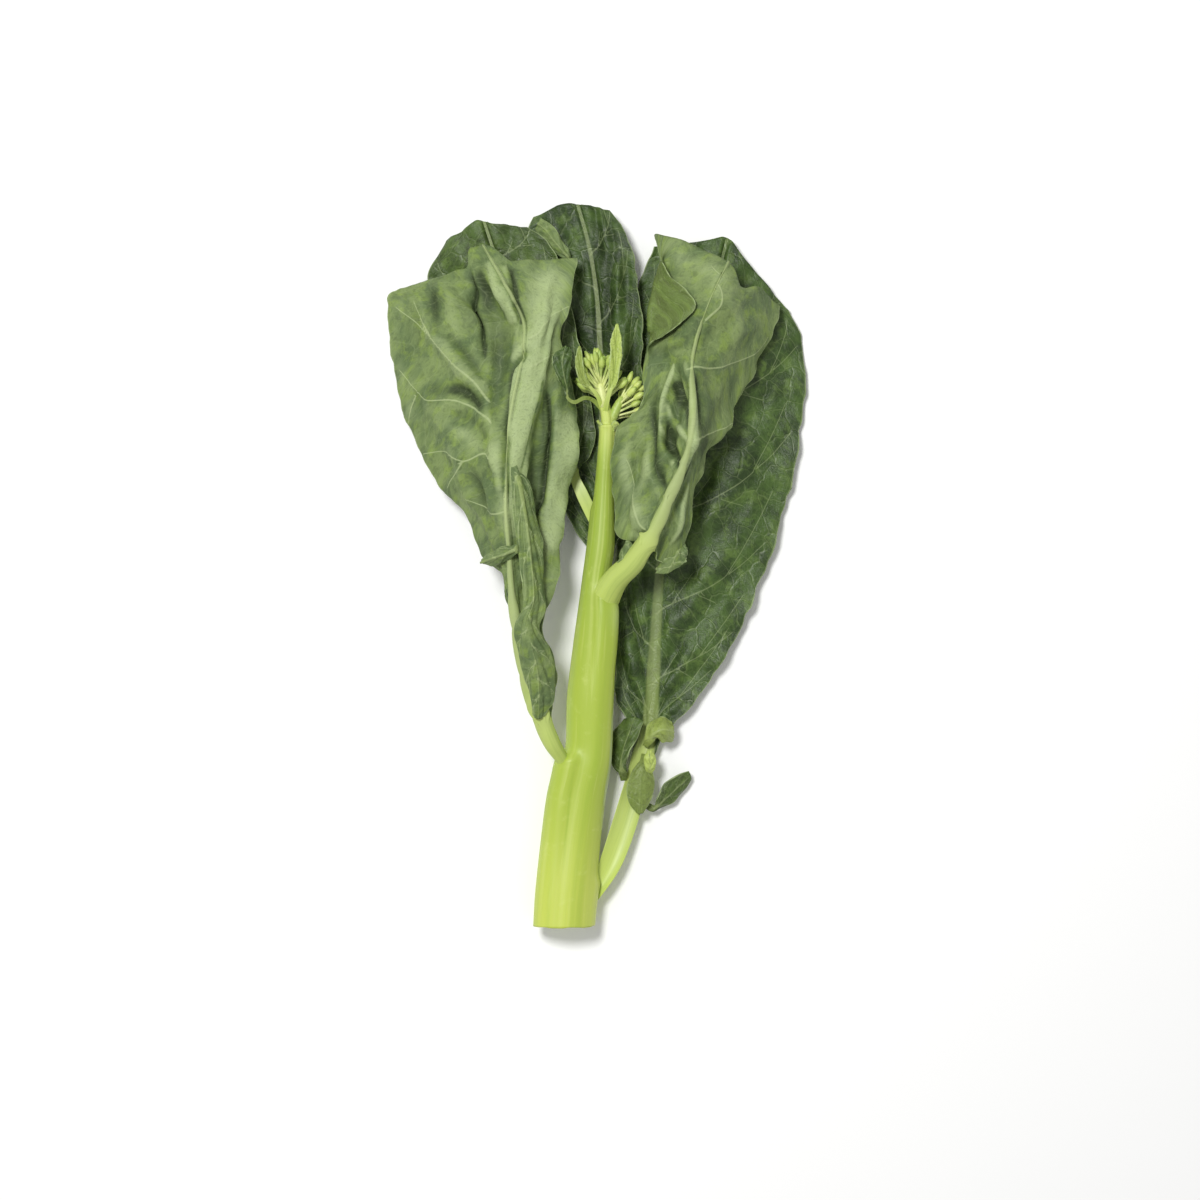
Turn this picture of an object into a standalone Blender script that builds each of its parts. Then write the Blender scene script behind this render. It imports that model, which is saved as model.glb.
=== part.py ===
"""One cut stalk of Chinese broccoli, lying on a table with its bud head towards +Y.

Guide points are in millimetres from the middle of the cut end, with Z measured up from the table.
Each leaf is one closed solid: its stalk, midrib and blade are a single sheet, thick along the rib.
"""

import math

import bmesh
import bpy
import numpy as np

MM = 0.001
REST_SPOT = (0.9, 12.0, 0.0)  # middle of the flat that the stem lies on, which is the part's origin
GAP = 0.35  # clearance between pieces that meet

STEM_GREEN = (0.42, 0.55, 0.13)
LEAF_GREEN = (0.16, 0.27, 0.10)
BRACT_GREEN = (0.28, 0.42, 0.10)
BUD_GREEN = (0.40, 0.52, 0.14)

# The stem's middle line and radius from the cut end to the head.
STEM = (
    (0.0, 0.0, 9.7, 10.0),
    (0.9, 12.0, 9.6, 9.9),
    (2.8, 29.0, 9.3, 9.5),
    (4.9, 44.0, 9.9, 9.1),
    (7.0, 54.0, 10.8, 8.6),
    (8.2, 62.0, 11.5, 8.0),
    (8.5, 78.0, 12.8, 7.9),
    (9.1, 88.0, 13.5, 7.4),
    (9.9, 98.0, 14.2, 6.9),
    (10.4, 107.0, 14.9, 6.1),
    (10.4, 113.0, 15.4, 5.2),
    (10.9, 120.0, 15.9, 4.7),
    (12.4, 130.0, 16.6, 4.7),
    (13.0, 138.0, 17.2, 4.2),
    (13.5, 148.0, 17.9, 3.5),
    (14.1, 160.0, 18.8, 2.9),
    (14.6, 171.0, 19.7, 2.4),
    (14.4, 175.5, 20.1, 1.9),
    (13.7, 179.5, 20.5, 1.7),
)
STEM_SIDES = 20
STEM_RINGS = 42

# Where leaves and the side spray leave the stem: distance up the stem, angle round it from +X
# towards +Z in degrees, height of the swelling, and the length over which it fades below.
NODES = (
    (14.0, -12.0, 1.3, 14.0),
    (57.0, 150.0, 3.6, 60.0),
    (88.0, -95.0, 0.8, 20.0),
    (113.0, 50.0, 2.6, 34.0),
    (143.0, 205.0, 0.8, 20.0),
    (174.5, -5.0, 0.8, 10.0),
)
SWELLING_ANGLE = 34.0
SWELLING_TOP = 2.2


# A leaf's stalk is a line of points that starts inside the stem, with its half width at both ends. Its
# guides run from the blade's base to its top edge: -1 is the left margin, 0 the midrib and 1 the right
# margin, as seen from above with the bud head away from the viewer. grid is rows and columns a side.
# rib_depth is the rib's depth below the blade at the base and the top. A pleat is its place across at its
# start and end, its half width, its height and the rows of guides between which it runs. quilting and
# ruffle are a height and a number of waves. tip draws the top edge out: place across, half width, length.
LEAVES = {
    "leaf_lower": {
        "upper_side_up": True,
        "grid": (27, 6),
        "blade": 0.8,
        "stalk": (
            (10.0, 10.0, 8.5),
            (14.5, 18.5, 8.6),
            (18.8, 29.0, 7.4),
            (23.2, 43.0, 6.2),
            (26.8, 57.0, 5.4),
        ),
        "stalk_half_width": (4.2, 4.6),
        "rib_depth": (4.6, 0.8),
        "guides": {
            -1.0: (
                (23.5, 68.0, 5.4),
                (18.4, 78.0, 4.6),
                (17.6, 95.0, 2.6),
                (17.8, 116.0, 1.8),
                (18.6, 143.0, 1.6),
                (20.3, 171.0, 1.6),
                (23.5, 199.0, 1.8),
                (26.0, 221.0, 2.2),
                (31.0, 236.0, 3.0),
            ),
            0.0: (
                (29.6, 71.0, 5.0),
                (30.8, 87.0, 4.8),
                (31.9, 105.0, 5.0),
                (33.3, 125.0, 5.4),
                (36.0, 148.0, 5.8),
                (40.3, 172.0, 6.0),
                (46.2, 197.0, 5.8),
                (52.0, 220.0, 5.0),
                (56.0, 236.0, 4.0),
            ),
            1.0: (
                (36.0, 68.0, 5.4),
                (45.0, 77.0, 5.4),
                (56.0, 93.0, 5.6),
                (65.5, 112.0, 5.6),
                (74.0, 136.0, 4.6),
                (80.5, 162.0, 3.4),
                (83.5, 185.0, 2.4),
                (83.0, 203.0, 2.0),
                (78.0, 214.0, 2.4),
            ),
        },
        "pleats": ((-0.5, -0.5, 0.22, -1.2, 2.0, 7.0), (0.45, 0.5, 0.2, 1.4, 1.0, 8.0)),
        "quilting": (1.1, 6.0),
        "ruffle": (1.0, 9.0),
        "tip": (0.0, 0.2, 3.0),
    },
    "leaf_back": {
        "upper_side_up": True,
        "grid": (27, 6),
        "blade": 0.8,
        "stalk": (
            (10.0, 80.0, 9.0),
            (10.5, 88.0, 5.2),
            (11.3, 99.0, 4.1),
            (12.3, 113.0, 4.2),
            (13.0, 125.0, 4.5),
        ),
        "stalk_half_width": (2.6, 2.3),
        "rib_depth": (2.6, 0.7),
        "guides": {
            -1.0: (
                (8.6, 130.0, 4.9),
                (2.0, 141.0, 3.8),
                (-3.6, 158.0, 2.8),
                (-7.4, 179.0, 2.3),
                (-10.8, 200.0, 2.2),
                (-13.4, 220.0, 2.8),
                (-14.4, 235.0, 4.4),
                (-11.0, 246.0, 5.8),
            ),
            0.0: (
                (13.0, 134.0, 4.9),
                (13.3, 148.0, 5.2),
                (13.3, 165.0, 5.6),
                (13.0, 183.0, 5.9),
                (12.3, 200.0, 6.2),
                (11.2, 218.0, 6.8),
                (8.6, 235.0, 7.2),
                (4.6, 250.0, 7.0),
            ),
            1.0: (
                (17.4, 131.0, 5.8),
                (22.2, 142.0, 6.8),
                (26.3, 161.0, 7.8),
                (28.0, 181.0, 8.8),
                (27.0, 200.0, 9.8),
                (25.6, 221.0, 10.6),
                (22.0, 237.0, 10.6),
                (15.8, 248.0, 9.0),
            ),
        },
        "pleats": ((0.55, 0.5, 0.16, 2.0, 1.0, 7.0), (-0.3, -0.35, 0.16, -1.0, 2.0, 7.0)),
        "quilting": (0.8, 6.0),
        "ruffle": (1.0, 7.0),
        "tip": (-0.4, 0.3, 1.5),
    },
    "leaf_back_left": {
        "upper_side_up": True,
        "grid": (27, 6),
        "blade": 0.8,
        "stalk": ((12.4, 137.0, 16.4), (9.4, 142.5, 13.4), (6.0, 149.5, 11.0), (3.0, 157.0, 9.8)),
        "stalk_half_width": (2.3, 2.0),
        "rib_depth": (2.4, 0.7),
        "guides": {
            -1.0: (
                (-1.6, 161.0, 9.3),
                (-13.0, 168.5, 7.6),
                (-27.0, 180.0, 5.4),
                (-38.5, 194.0, 3.6),
                (-46.0, 210.0, 2.4),
                (-47.4, 226.0, 2.6),
                (-41.0, 238.0, 4.4),
            ),
            0.0: (
                (1.0, 163.5, 9.4),
                (-2.8, 175.7, 9.2),
                (-7.0, 189.7, 9.2),
                (-12.3, 205.5, 9.2),
                (-18.6, 221.0, 9.2),
                (-24.0, 232.4, 9.0),
                (-27.6, 243.0, 8.4),
            ),
            1.0: (
                (9.6, 164.0, 9.0),
                (9.6, 176.5, 9.2),
                (7.0, 192.5, 9.6),
                (3.4, 209.0, 10.2),
                (0.4, 224.0, 11.0),
                (-4.6, 235.0, 11.4),
                (-13.0, 242.0, 10.6),
            ),
        },
        "pleats": ((-0.55, -0.5, 0.16, 1.2, 1.0, 6.0),),
        "quilting": (0.8, 5.0),
        "ruffle": (0.9, 6.0),
        "tip": (-0.2, 0.3, 2.0),
    },
    "leaf_left": {
        "upper_side_up": False,
        "grid": (28, 6),
        "blade": 0.8,
        "stalk": ((4.4, 49.0, 13.0), (-0.4, 56.5, 17.0), (-4.2, 63.5, 20.2), (-7.2, 71.0, 22.6)),
        "stalk_half_width": (3.0, 3.7),
        "rib_depth": (4.4, 0.8),
        "guides": {
            -1.0: (
                (-12.0, 78.5, 23.2),
                (-14.0, 85.0, 23.8),
                (-16.4, 94.0, 24.4),
                (-18.2, 103.5, 24.8),
                (-19.8, 113.0, 25.0),
                (-22.0, 121.0, 23.8),
                (-27.6, 127.5, 20.6),
                (-36.0, 141.5, 16.0),
                (-43.8, 153.3, 12.4),
                (-50.4, 163.5, 9.4),
                (-57.4, 182.0, 5.8),
                (-61.6, 200.0, 3.2),
                (-62.6, 211.0, 2.0),
                (-62.0, 218.5, 1.8),
                (-58.5, 221.5, 2.6),
                (-53.6, 223.6, 3.6),
            ),
            0.0: (
                (-9.3, 78.0, 24.8),
                (-11.6, 85.0, 26.0),
                (-14.0, 94.0, 27.4),
                (-15.9, 103.5, 28.6),
                (-17.4, 113.0, 29.4),
                (-18.2, 120.5, 30.0),
                (-18.6, 128.5, 30.6),
                (-19.6, 141.0, 31.6),
                (-20.0, 153.0, 32.2),
                (-19.6, 165.0, 32.4),
                (-17.4, 180.0, 31.4),
                (-14.2, 196.0, 29.6),
                (-13.6, 206.0, 27.8),
                (-16.4, 214.0, 25.6),
                (-20.0, 221.0, 23.0),
                (-24.6, 229.0, 19.6),
            ),
            1.0: (
                (-3.6, 77.5, 23.0),
                (-2.8, 85.0, 23.6),
                (-3.6, 94.0, 24.8),
                (-8.0, 103.0, 25.6),
                (-6.6, 113.0, 25.0),
                (-4.0, 121.0, 23.6),
                (-1.6, 129.0, 22.4),
                (0.6, 141.0, 21.2),
                (3.0, 153.0, 20.4),
                (4.8, 164.0, 20.4),
                (4.4, 181.0, 21.0),
                (-0.2, 196.0, 23.0),
                (-0.6, 206.0, 22.2),
                (2.2, 215.0, 20.0),
                (3.8, 224.0, 17.6),
                (4.4, 231.0, 15.6),
            ),
        },
        "pleats": (
            (-0.2, -0.28, 0.09, -4.0, 7.0, 15.5),
            (-0.55, -0.6, 0.2, 2.6, 7.0, 15.5),
            (0.56, 0.52, 0.13, -6.0, 3.4, 11.4),
            (0.3, 0.5, 0.16, 1.6, 9.0, 15.5),
        ),
        "quilting": (1.2, 7.0),
        "ruffle": (1.2, 8.0),
        "tip": (-0.13, 0.13, 6.0),
    },
    "leaf_right": {
        "upper_side_up": False,
        "grid": (28, 6),
        "blade": 0.8,
        "stalk": (
            (10.8, 106.5, 13.2),
            (13.2, 113.6, 17.2),
            (17.8, 119.8, 22.2),
            (23.6, 125.6, 27.4),
            (27.8, 131.4, 31.2),
        ),
        "stalk_half_width": (4.2, 3.4),
        "rib_depth": (5.8, 0.8),
        "guides": {
            -1.0: (
                (24.2, 132.6, 28.6),
                (18.4, 134.6, 25.4),
                (16.8, 143.0, 24.2),
                (16.0, 157.0, 24.2),
                (16.4, 166.0, 24.6),
                (19.6, 173.6, 25.8),
                (27.0, 180.6, 27.8),
                (27.2, 194.6, 28.4),
                (37.4, 204.0, 32.6),
                (43.6, 215.0, 32.6),
                (34.0, 233.0, 14.2),
            ),
            -0.5: (
                (27.6, 134.6, 31.0),
                (25.6, 138.4, 31.0),
                (27.0, 147.5, 31.6),
                (29.0, 158.0, 32.0),
                (31.4, 168.0, 32.4),
                (33.4, 177.6, 32.0),
                (34.6, 188.0, 31.2),
                (33.0, 199.0, 28.8),
                (28.6, 205.0, 24.4),
                (29.2, 218.0, 20.6),
                (30.6, 240.0, 10.6),
            ),
            0.0: (
                (30.6, 136.6, 33.0),
                (33.0, 141.6, 35.0),
                (36.4, 149.4, 37.2),
                (40.2, 157.8, 38.6),
                (43.0, 167.0, 39.2),
                (43.8, 179.0, 39.0),
                (43.2, 190.6, 37.8),
                (44.6, 200.4, 36.0),
                (47.6, 209.4, 33.2),
                (51.6, 219.0, 29.6),
                (56.4, 228.6, 24.6),
            ),
            1.0: (
                (35.0, 124.6, 25.4),
                (40.0, 127.8, 24.6),
                (43.2, 137.4, 25.2),
                (46.0, 150.0, 26.4),
                (48.6, 160.0, 26.0),
                (55.0, 168.6, 23.2),
                (61.0, 181.4, 17.6),
                (66.0, 192.0, 13.0),
                (70.0, 201.0, 10.4),
                (73.6, 209.6, 9.0),
                (74.8, 215.0, 8.6),
            ),
        },
        "pleats": (
            (-0.72, -0.7, 0.1, -2.6, 0.5, 5.6),
            (-0.36, -0.3, 0.08, -3.0, 2.0, 7.0),
            (0.5, 0.45, 0.18, -2.0, 0.6, 4.4),
            (0.5, 0.55, 0.2, 2.2, 5.0, 10.0),
        ),
        "quilting": (1.1, 5.0),
        "ruffle": (1.0, 7.0),
        "tip": (0.0, 0.2, 0.0),
    },
}

# The small leaves round the head, in the same form.
BRACTS = {
    "bract_long": {
        "upper_side_up": True,
        "grid": (12, 3),
        "blade": 0.7,
        "stalk": ((14.2, 175.5, 20.6), (16.2, 179.5, 24.2), (17.2, 185.0, 26.6)),
        "stalk_half_width": (0.9, 0.8),
        "rib_depth": (1.0, 0.3),
        "guides": {
            -1.0: ((16.0, 190.0, 28.0), (15.1, 197.0, 28.8), (16.0, 204.0, 28.8), (17.2, 209.4, 28.2)),
            0.0: ((17.6, 190.0, 27.4), (17.3, 197.0, 27.8), (17.4, 204.0, 28.0), (17.6, 210.0, 28.0)),
            1.0: ((19.2, 190.0, 28.0), (19.5, 197.0, 28.8), (18.8, 204.0, 28.8), (18.0, 209.4, 28.2)),
        },
        "pleats": (),
        "quilting": (0.0, 1.0),
        "ruffle": (0.3, 3.0),
        "tip": (0.0, 0.3, 0.5),
    },
    "bract_short": {
        "upper_side_up": True,
        "grid": (12, 3),
        "blade": 0.7,
        "stalk": ((12.8, 175.5, 20.8), (10.4, 179.4, 24.0), (7.6, 183.4, 26.6)),
        "stalk_half_width": (0.8, 0.8),
        "rib_depth": (0.9, 0.3),
        "guides": {
            -1.0: ((4.1, 187.4, 28.2), (2.7, 193.6, 29.0), (3.7, 199.5, 28.6)),
            0.0: ((5.7, 188.0, 27.6), (4.5, 194.0, 28.1), (4.3, 200.4, 28.2)),
            1.0: ((7.1, 188.6, 28.2), (6.3, 194.6, 29.0), (5.1, 199.7, 28.6)),
        },
        "pleats": (),
        "quilting": (0.0, 1.0),
        "ruffle": (0.2, 3.0),
        "tip": (0.0, 0.3, 0.5),
    },
    "bract_left": {
        "upper_side_up": True,
        "grid": (14, 3),
        "blade": 0.7,
        "stalk": (
            (13.4, 176.4, 19.6),
            (10.8, 179.8, 17.8),
            (7.2, 182.0, 19.4),
            (3.6, 181.4, 23.8),
            (0.6, 182.4, 26.6),
        ),
        "stalk_half_width": (1.0, 1.0),
        "rib_depth": (1.1, 0.3),
        "guides": {
            -1.0: ((-2.8, 186.0, 29.2), (-4.4, 192.6, 31.2), (-3.4, 199.4, 30.6)),
            0.0: ((-0.6, 186.8, 30.0), (-1.2, 193.6, 31.6), (-1.0, 200.8, 31.0)),
            1.0: ((1.6, 186.2, 28.4), (1.8, 192.8, 29.0), (1.6, 199.8, 28.8)),
        },
        "pleats": (),
        "quilting": (0.4, 3.0),
        "ruffle": (0.3, 4.0),
        "tip": (0.0, 0.3, 1.0),
    },
}

# Bud heads: the branch that the stalklets leave, how many buds there are, their widest angle from the
# branch in degrees, the reach of the fan, and the biggest bud's length and radius.
HEADS = {
    "bud_head": {
        "branch": ((13.65, 179.85, 20.55), (12.2, 187.4, 21.2)),
        "count": 34,
        "widest": 78.0,
        "reach": 9.4,
        "bud": (5.4, 1.55),
    },
    "bud_spray": {
        "branch": ((15.6, 173.4, 19.3), (19.8, 182.6, 20.2)),
        "count": 26,
        "widest": 64.0,
        "reach": 9.2,
        "bud": (5.2, 1.5),
    },
}
BUD_CLEARANCE = 0.65  # least distance from a bud to the middle of a blade, and between the two heads
GOLDEN_ANGLE = 137.5
STALKLET_RADIUS = 0.5
SMALLEST_BUD = 0.66  # the youngest buds' size, as a share of the biggest
BRANCH_SIDES = 8
BUD_SIDES = 5

RIB_AT_TOP = 0.9  # half width of the midrib where it runs out
RIB_TAPER = 1.3
SIDE_VEIN_SLOPE = 0.35  # how far a side vein climbs on its way out, as a share of the blade's length
RIM_SHARPNESS = 5  # a ruffle keeps to the margin
TIP_SHARPNESS = 8  # a drawn-out tip keeps to the top edge


def through(points, at):
    """Smooth curve through points, read at index positions from 0 to the last point's."""
    points = np.asarray(points, float)
    padded = np.vstack([2 * points[0] - points[1], points, 2 * points[-1] - points[-2]])
    at = np.clip(np.asarray(at, float), 0, len(points) - 1)
    first = np.minimum(at.astype(int), len(points) - 2)
    u = (at - first)[:, None]
    a, b, c, d = (padded[first + k] for k in range(4))
    return 0.5 * (2 * b + (c - a) * u + (2 * a - 5 * b + 4 * c - d) * u**2 + (3 * b - a - 3 * c + d) * u**3)


def unit(vectors):
    return vectors / np.maximum(np.linalg.norm(vectors, axis=-1, keepdims=True), 1e-9)


def rails_of(leaf):
    """The guides with the leaf stalk's rows put in front of them, as {position across: points}."""
    stalk = np.array(leaf["stalk"])
    sideways = unit(np.cross(np.gradient(stalk, axis=0), (0.0, 0.0, 1.0)))
    half_width = np.linspace(*leaf["stalk_half_width"], len(stalk))[:, None]
    return {
        across: np.vstack([stalk + across * half_width * sideways, guide])
        for across, guide in sorted(leaf["guides"].items())
    }


def lofted(rails, rows, across):
    """Points of the sheet drawn through the rails; across holds each row's positions from -1 to 1."""
    stations = np.array(list(rails))
    lines = np.stack([through(rail, rows) for rail in rails.values()])
    slopes = np.gradient(lines, stations, axis=0)
    first = np.clip(np.searchsorted(stations, across, side="right") - 1, 0, len(stations) - 2)
    span = (stations[first + 1] - stations[first])[..., None]
    u = (across[..., None] - stations[first][..., None]) / span
    row = np.arange(len(rows))[:, None]
    p0, p1, m0, m1 = (table[first + k, row] for table in (lines, slopes) for k in (0, 1))
    return (
        (2 * u**3 - 3 * u**2 + 1) * p0
        + (u**3 - 2 * u**2 + u) * span * m0
        + (3 * u**2 - 2 * u**3) * p1
        + (u**3 - u**2) * span * m1
    )


def grid_normals(points):
    """Normals of a grid of points, on the side that faces up where the sheet lies flat."""
    return unit(np.cross(np.gradient(points, axis=1), np.gradient(points, axis=0)))


def bump(x):
    """1 in the middle of 0 to 1, falling smoothly to 0 at both ends and beyond."""
    x = np.clip(x, 0, 1)
    return np.sin(np.pi * x) ** 2


def leaf_shape(leaf, row_count, column_count):
    """The leaf's middle surface, its normals on the upper side, and its thickness below that surface."""
    rails = rails_of(leaf)
    stalk_rows = len(leaf["stalk"])
    last = len(rails[0.0]) - 1
    rows = np.linspace(0, last, row_count)
    along = rows / last
    into_blade = np.clip((rows - stalk_rows + 1) / (last - stalk_rows + 1), 0, 1)

    # The rib is as wide as the leaf stalk, and narrows along the blade.
    rib_half = np.interp(rows, (0, stalk_rows - 1), leaf["stalk_half_width"]) * (1 - into_blade) ** RIB_TAPER
    rib_half = rib_half + RIB_AT_TOP * into_blade
    ends = lofted(rails, rows, np.tile((-1.0, 0.0, 1.0), (row_count, 1)))
    step = np.arange(-column_count, column_count + 1)
    margin = np.where(step[:, None] < 0, ends[:, None, 0], ends[:, None, 2])
    width = np.linalg.norm(margin - ends[:, None, 1], axis=-1)
    edge = np.minimum(rib_half[:, None] / width, 1 / column_count)
    spread = edge + (1 - edge) * (np.abs(step) - 1) / (column_count - 1)
    across = np.sign(step) * np.where(step == 0, 0.0, spread)
    sheet = lofted(rails, rows, across)
    middle, wide, length = leaf["tip"]
    onward = unit(np.gradient(sheet, axis=0))
    grow = length * np.exp(-(((across - middle) / wide) ** 2)) * along[:, None] ** TIP_SHARPNESS
    sheet = sheet + grow[..., None] * onward

    up = grid_normals(sheet)
    lift = np.zeros_like(across)
    for start, end, wide, height, first, final in leaf["pleats"]:
        share = (rows - stalk_rows - first) / (final - first)
        middle = (start + (end - start) * np.clip(share, 0, 1))[:, None]
        lift += height * bump(share)[:, None] * np.exp(-(((across - middle) / wide) ** 2))
    height, count = leaf["quilting"]
    veins = count * (into_blade[:, None] - SIDE_VEIN_SLOPE * np.abs(across))
    side = 1 if leaf["upper_side_up"] else -1
    fade = bump(np.abs(across)) * np.minimum(1, 4 * into_blade)[:, None]
    lift += side * height * (0.5 - np.cos(2 * np.pi * veins)) * fade
    height, count = leaf["ruffle"]
    fade = np.abs(across) ** RIM_SHARPNESS * bump(into_blade)[:, None]
    lift += height * fade * np.sin(2 * np.pi * count * into_blade[:, None] + 1.7 * np.sign(across))
    sheet = sheet + lift[..., None] * up

    upper = side * grid_normals(sheet)
    steps = np.linalg.norm(np.diff(sheet, axis=1), axis=-1)
    reach = np.concatenate([np.zeros((row_count, 1)), np.cumsum(steps, axis=1)], axis=1)
    from_rib = np.abs(reach - reach[:, column_count : column_count + 1])
    deep, shallow = leaf["rib_depth"]
    depth = np.interp(along, (0, 0.3, 1), (deep, 0.62 * deep, shallow))
    rib = depth[:, None] * np.sqrt(np.clip(1 - (from_rib / rib_half[:, None]) ** 2, 0, 1))
    return sheet, upper, leaf["blade"] + rib


def leaf_faces(rows, columns):
    """Triangles of a closed sheet of two grids: both faces split alike, with a rim all round."""
    count = rows * columns
    index = np.arange(count).reshape(rows, columns)
    a, b, c, d = index[:-1, :-1], index[:-1, 1:], index[1:, 1:], index[1:, :-1]
    front = np.concatenate([np.stack(corners, axis=-1).reshape(-1, 3) for corners in ((a, b, c), (a, c, d))])
    border = np.concatenate([index[0, :-1], index[:-1, -1], index[-1, :0:-1], index[:0:-1, 0]])
    following = np.roll(border, -1)
    rim = [(border, border + count, following + count), (border, following + count, following)]
    rim = np.concatenate([np.stack(corners, axis=-1) for corners in rim])
    return np.concatenate([front, front[:, ::-1] + count, rim])


def add_object(name, points, faces, material):
    """A mesh object from points in millimetres, moved so that the rest spot is the origin."""
    mesh = bpy.data.meshes.new(name)
    mesh.from_pydata(((np.asarray(points) - REST_SPOT) * MM).tolist(), [], np.asarray(faces).tolist())
    work = bmesh.new()
    work.from_mesh(mesh)
    bmesh.ops.recalc_face_normals(work, faces=work.faces)
    work.to_mesh(mesh)
    work.free()
    mesh.materials.append(material)
    made = bpy.data.objects.new(name, mesh)
    bpy.context.scene.collection.objects.link(made)
    return made


def plant_material(name, colour, roughness):
    material = bpy.data.materials.new(name)
    material.use_nodes = True
    shader = material.node_tree.nodes["Principled BSDF"]
    shader.inputs["Base Color"].default_value = (*colour, 1.0)
    shader.inputs["Roughness"].default_value = roughness
    shader.inputs["Metallic"].default_value = 0.0
    material.diffuse_color = (*colour, 1.0)
    return material


def stem_rings(swell=0.0):
    """Rings of the stem, each with its leaf-base swellings and with the table side pressed flat."""
    line = through(STEM, np.linspace(0, len(STEM) - 1, STEM_RINGS))
    angles = 2 * np.pi * (np.arange(STEM_SIDES) + 0.5) / STEM_SIDES
    radius = np.repeat(line[:, 3:4], STEM_SIDES, axis=1)
    for distance, angle, height, fade in NODES:
        below = distance - line[:, 1]
        strength = np.where(below > 0, np.exp(-below / fade), np.exp(-((below / SWELLING_TOP) ** 2)))
        turn = (np.degrees(angles) - angle + 180) % 360 - 180
        radius += height * strength[:, None] * np.exp(-((turn / SWELLING_ANGLE) ** 2))
    radius += swell
    x = line[:, 0:1] + radius * np.cos(angles)
    y = np.repeat(line[:, 1:2], STEM_SIDES, axis=1)
    z = np.maximum(line[:, 2:3] + radius * np.sin(angles), -swell)
    return np.stack([x, y, z], axis=-1)


def tube_faces(rings, sides):
    """Triangles of a closed tube of rings, with a fan to a middle point at each end."""
    index = np.arange(rings * sides).reshape(rings, sides)
    beside = np.roll(index, -1, axis=1)
    walls = [(index[:-1], beside[:-1], beside[1:]), (index[:-1], beside[1:], index[1:])]
    caps = [
        (np.full(sides, rings * sides), beside[0], index[0]),
        (np.full(sides, rings * sides + 1), index[-1], beside[-1]),
    ]
    return np.concatenate([np.stack(corners, axis=-1).reshape(-1, 3) for corners in walls + caps])


def make_stem(material):
    rings = stem_rings()
    points = np.vstack([rings.reshape(-1, 3), rings[0].mean(axis=0), rings[-1].mean(axis=0)])
    stem = add_object("stem", points, tube_faces(STEM_RINGS, STEM_SIDES), material)
    stem.data.shade_smooth()
    return stem


def make_stem_cutter(material):
    """The stem grown by the clearance, which trims each leaf stalk where it meets the stem."""
    rings = stem_rings(GAP)
    points = np.vstack([rings.reshape(-1, 3), rings[0].mean(axis=0), rings[-1].mean(axis=0)])
    cutter = add_object("stem_cutter", points, tube_faces(STEM_RINGS, STEM_SIDES), material)
    cutter.hide_render = True
    cutter.display_type = "WIRE"
    return cutter


def trim_to_stem(piece, cutter):
    trim = piece.modifiers.new("meets_stem", "BOOLEAN")
    trim.operation = "DIFFERENCE"
    trim.object = cutter


def make_leaf(name, leaf, material, cutter):
    sheet, upper, depth = leaf_shape(leaf, *leaf["grid"])
    top = sheet + upper * leaf["blade"] / 2
    under = sheet + upper * (leaf["blade"] / 2 - depth[..., None])
    rows, columns = sheet.shape[:2]
    points = np.vstack([top.reshape(-1, 3), under.reshape(-1, 3)])
    made = add_object(name, points, leaf_faces(rows, columns), material)
    made.data.shade_smooth()
    trim_to_stem(made, cutter)
    return made


def bud_turn(start, way, length, bud):
    """Points of one stalklet with its bud, turned round the line from start along way."""
    bud_length, bud_radius = bud
    profile = (
        (0.0, STALKLET_RADIUS),
        (length, STALKLET_RADIUS * 0.9),
        (length + 0.22 * bud_length, bud_radius * 0.86),
        (length + 0.5 * bud_length, bud_radius),
        (length + 0.82 * bud_length, bud_radius * 0.66),
        (length + bud_length, bud_radius * 0.16),
    )
    first = unit(np.cross(way, (0.31, -0.2, 0.93)))
    second = np.cross(way, first)
    turn = 2 * np.pi * np.arange(BUD_SIDES)[:, None] / BUD_SIDES
    ring = np.cos(turn) * first + np.sin(turn) * second
    rings = [start + distance * way + radius * ring for distance, radius in profile]
    ends = [start, start + (length + bud_length) * way]
    return np.vstack(rings + ends), tube_faces(len(profile), BUD_SIDES)


def branch_rings(branch):
    """Points of the branch under a head, ending in a rounded top."""
    start, end = np.array(branch)
    way = unit(end - start)
    length = np.linalg.norm(end - start)
    first = unit(np.cross(way, (0.0, 0.0, 1.0)))
    second = np.cross(way, first)
    turn = 2 * np.pi * np.arange(BRANCH_SIDES)[:, None] / BRANCH_SIDES
    ring = np.cos(turn) * first + np.sin(turn) * second
    profile = ((0.0, 1.5), (0.35 * length, 1.7), (0.8 * length, 1.2), (length, 0.7))
    rings = [start + distance * way + radius * ring for distance, radius in profile]
    return np.vstack(rings + [start, end + 0.3 * way]), tube_faces(len(profile), BRANCH_SIDES)


def bud_line(start, way, length, bud):
    """Points along a stalklet's outer part and its bud."""
    return start + way * np.linspace(0.3 * length, length + bud[0], 12)[:, None]


def side_steps(radius):
    """Steps of one radius to each side along the three axes."""
    return radius * np.vstack([np.eye(3), -np.eye(3)])


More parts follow.
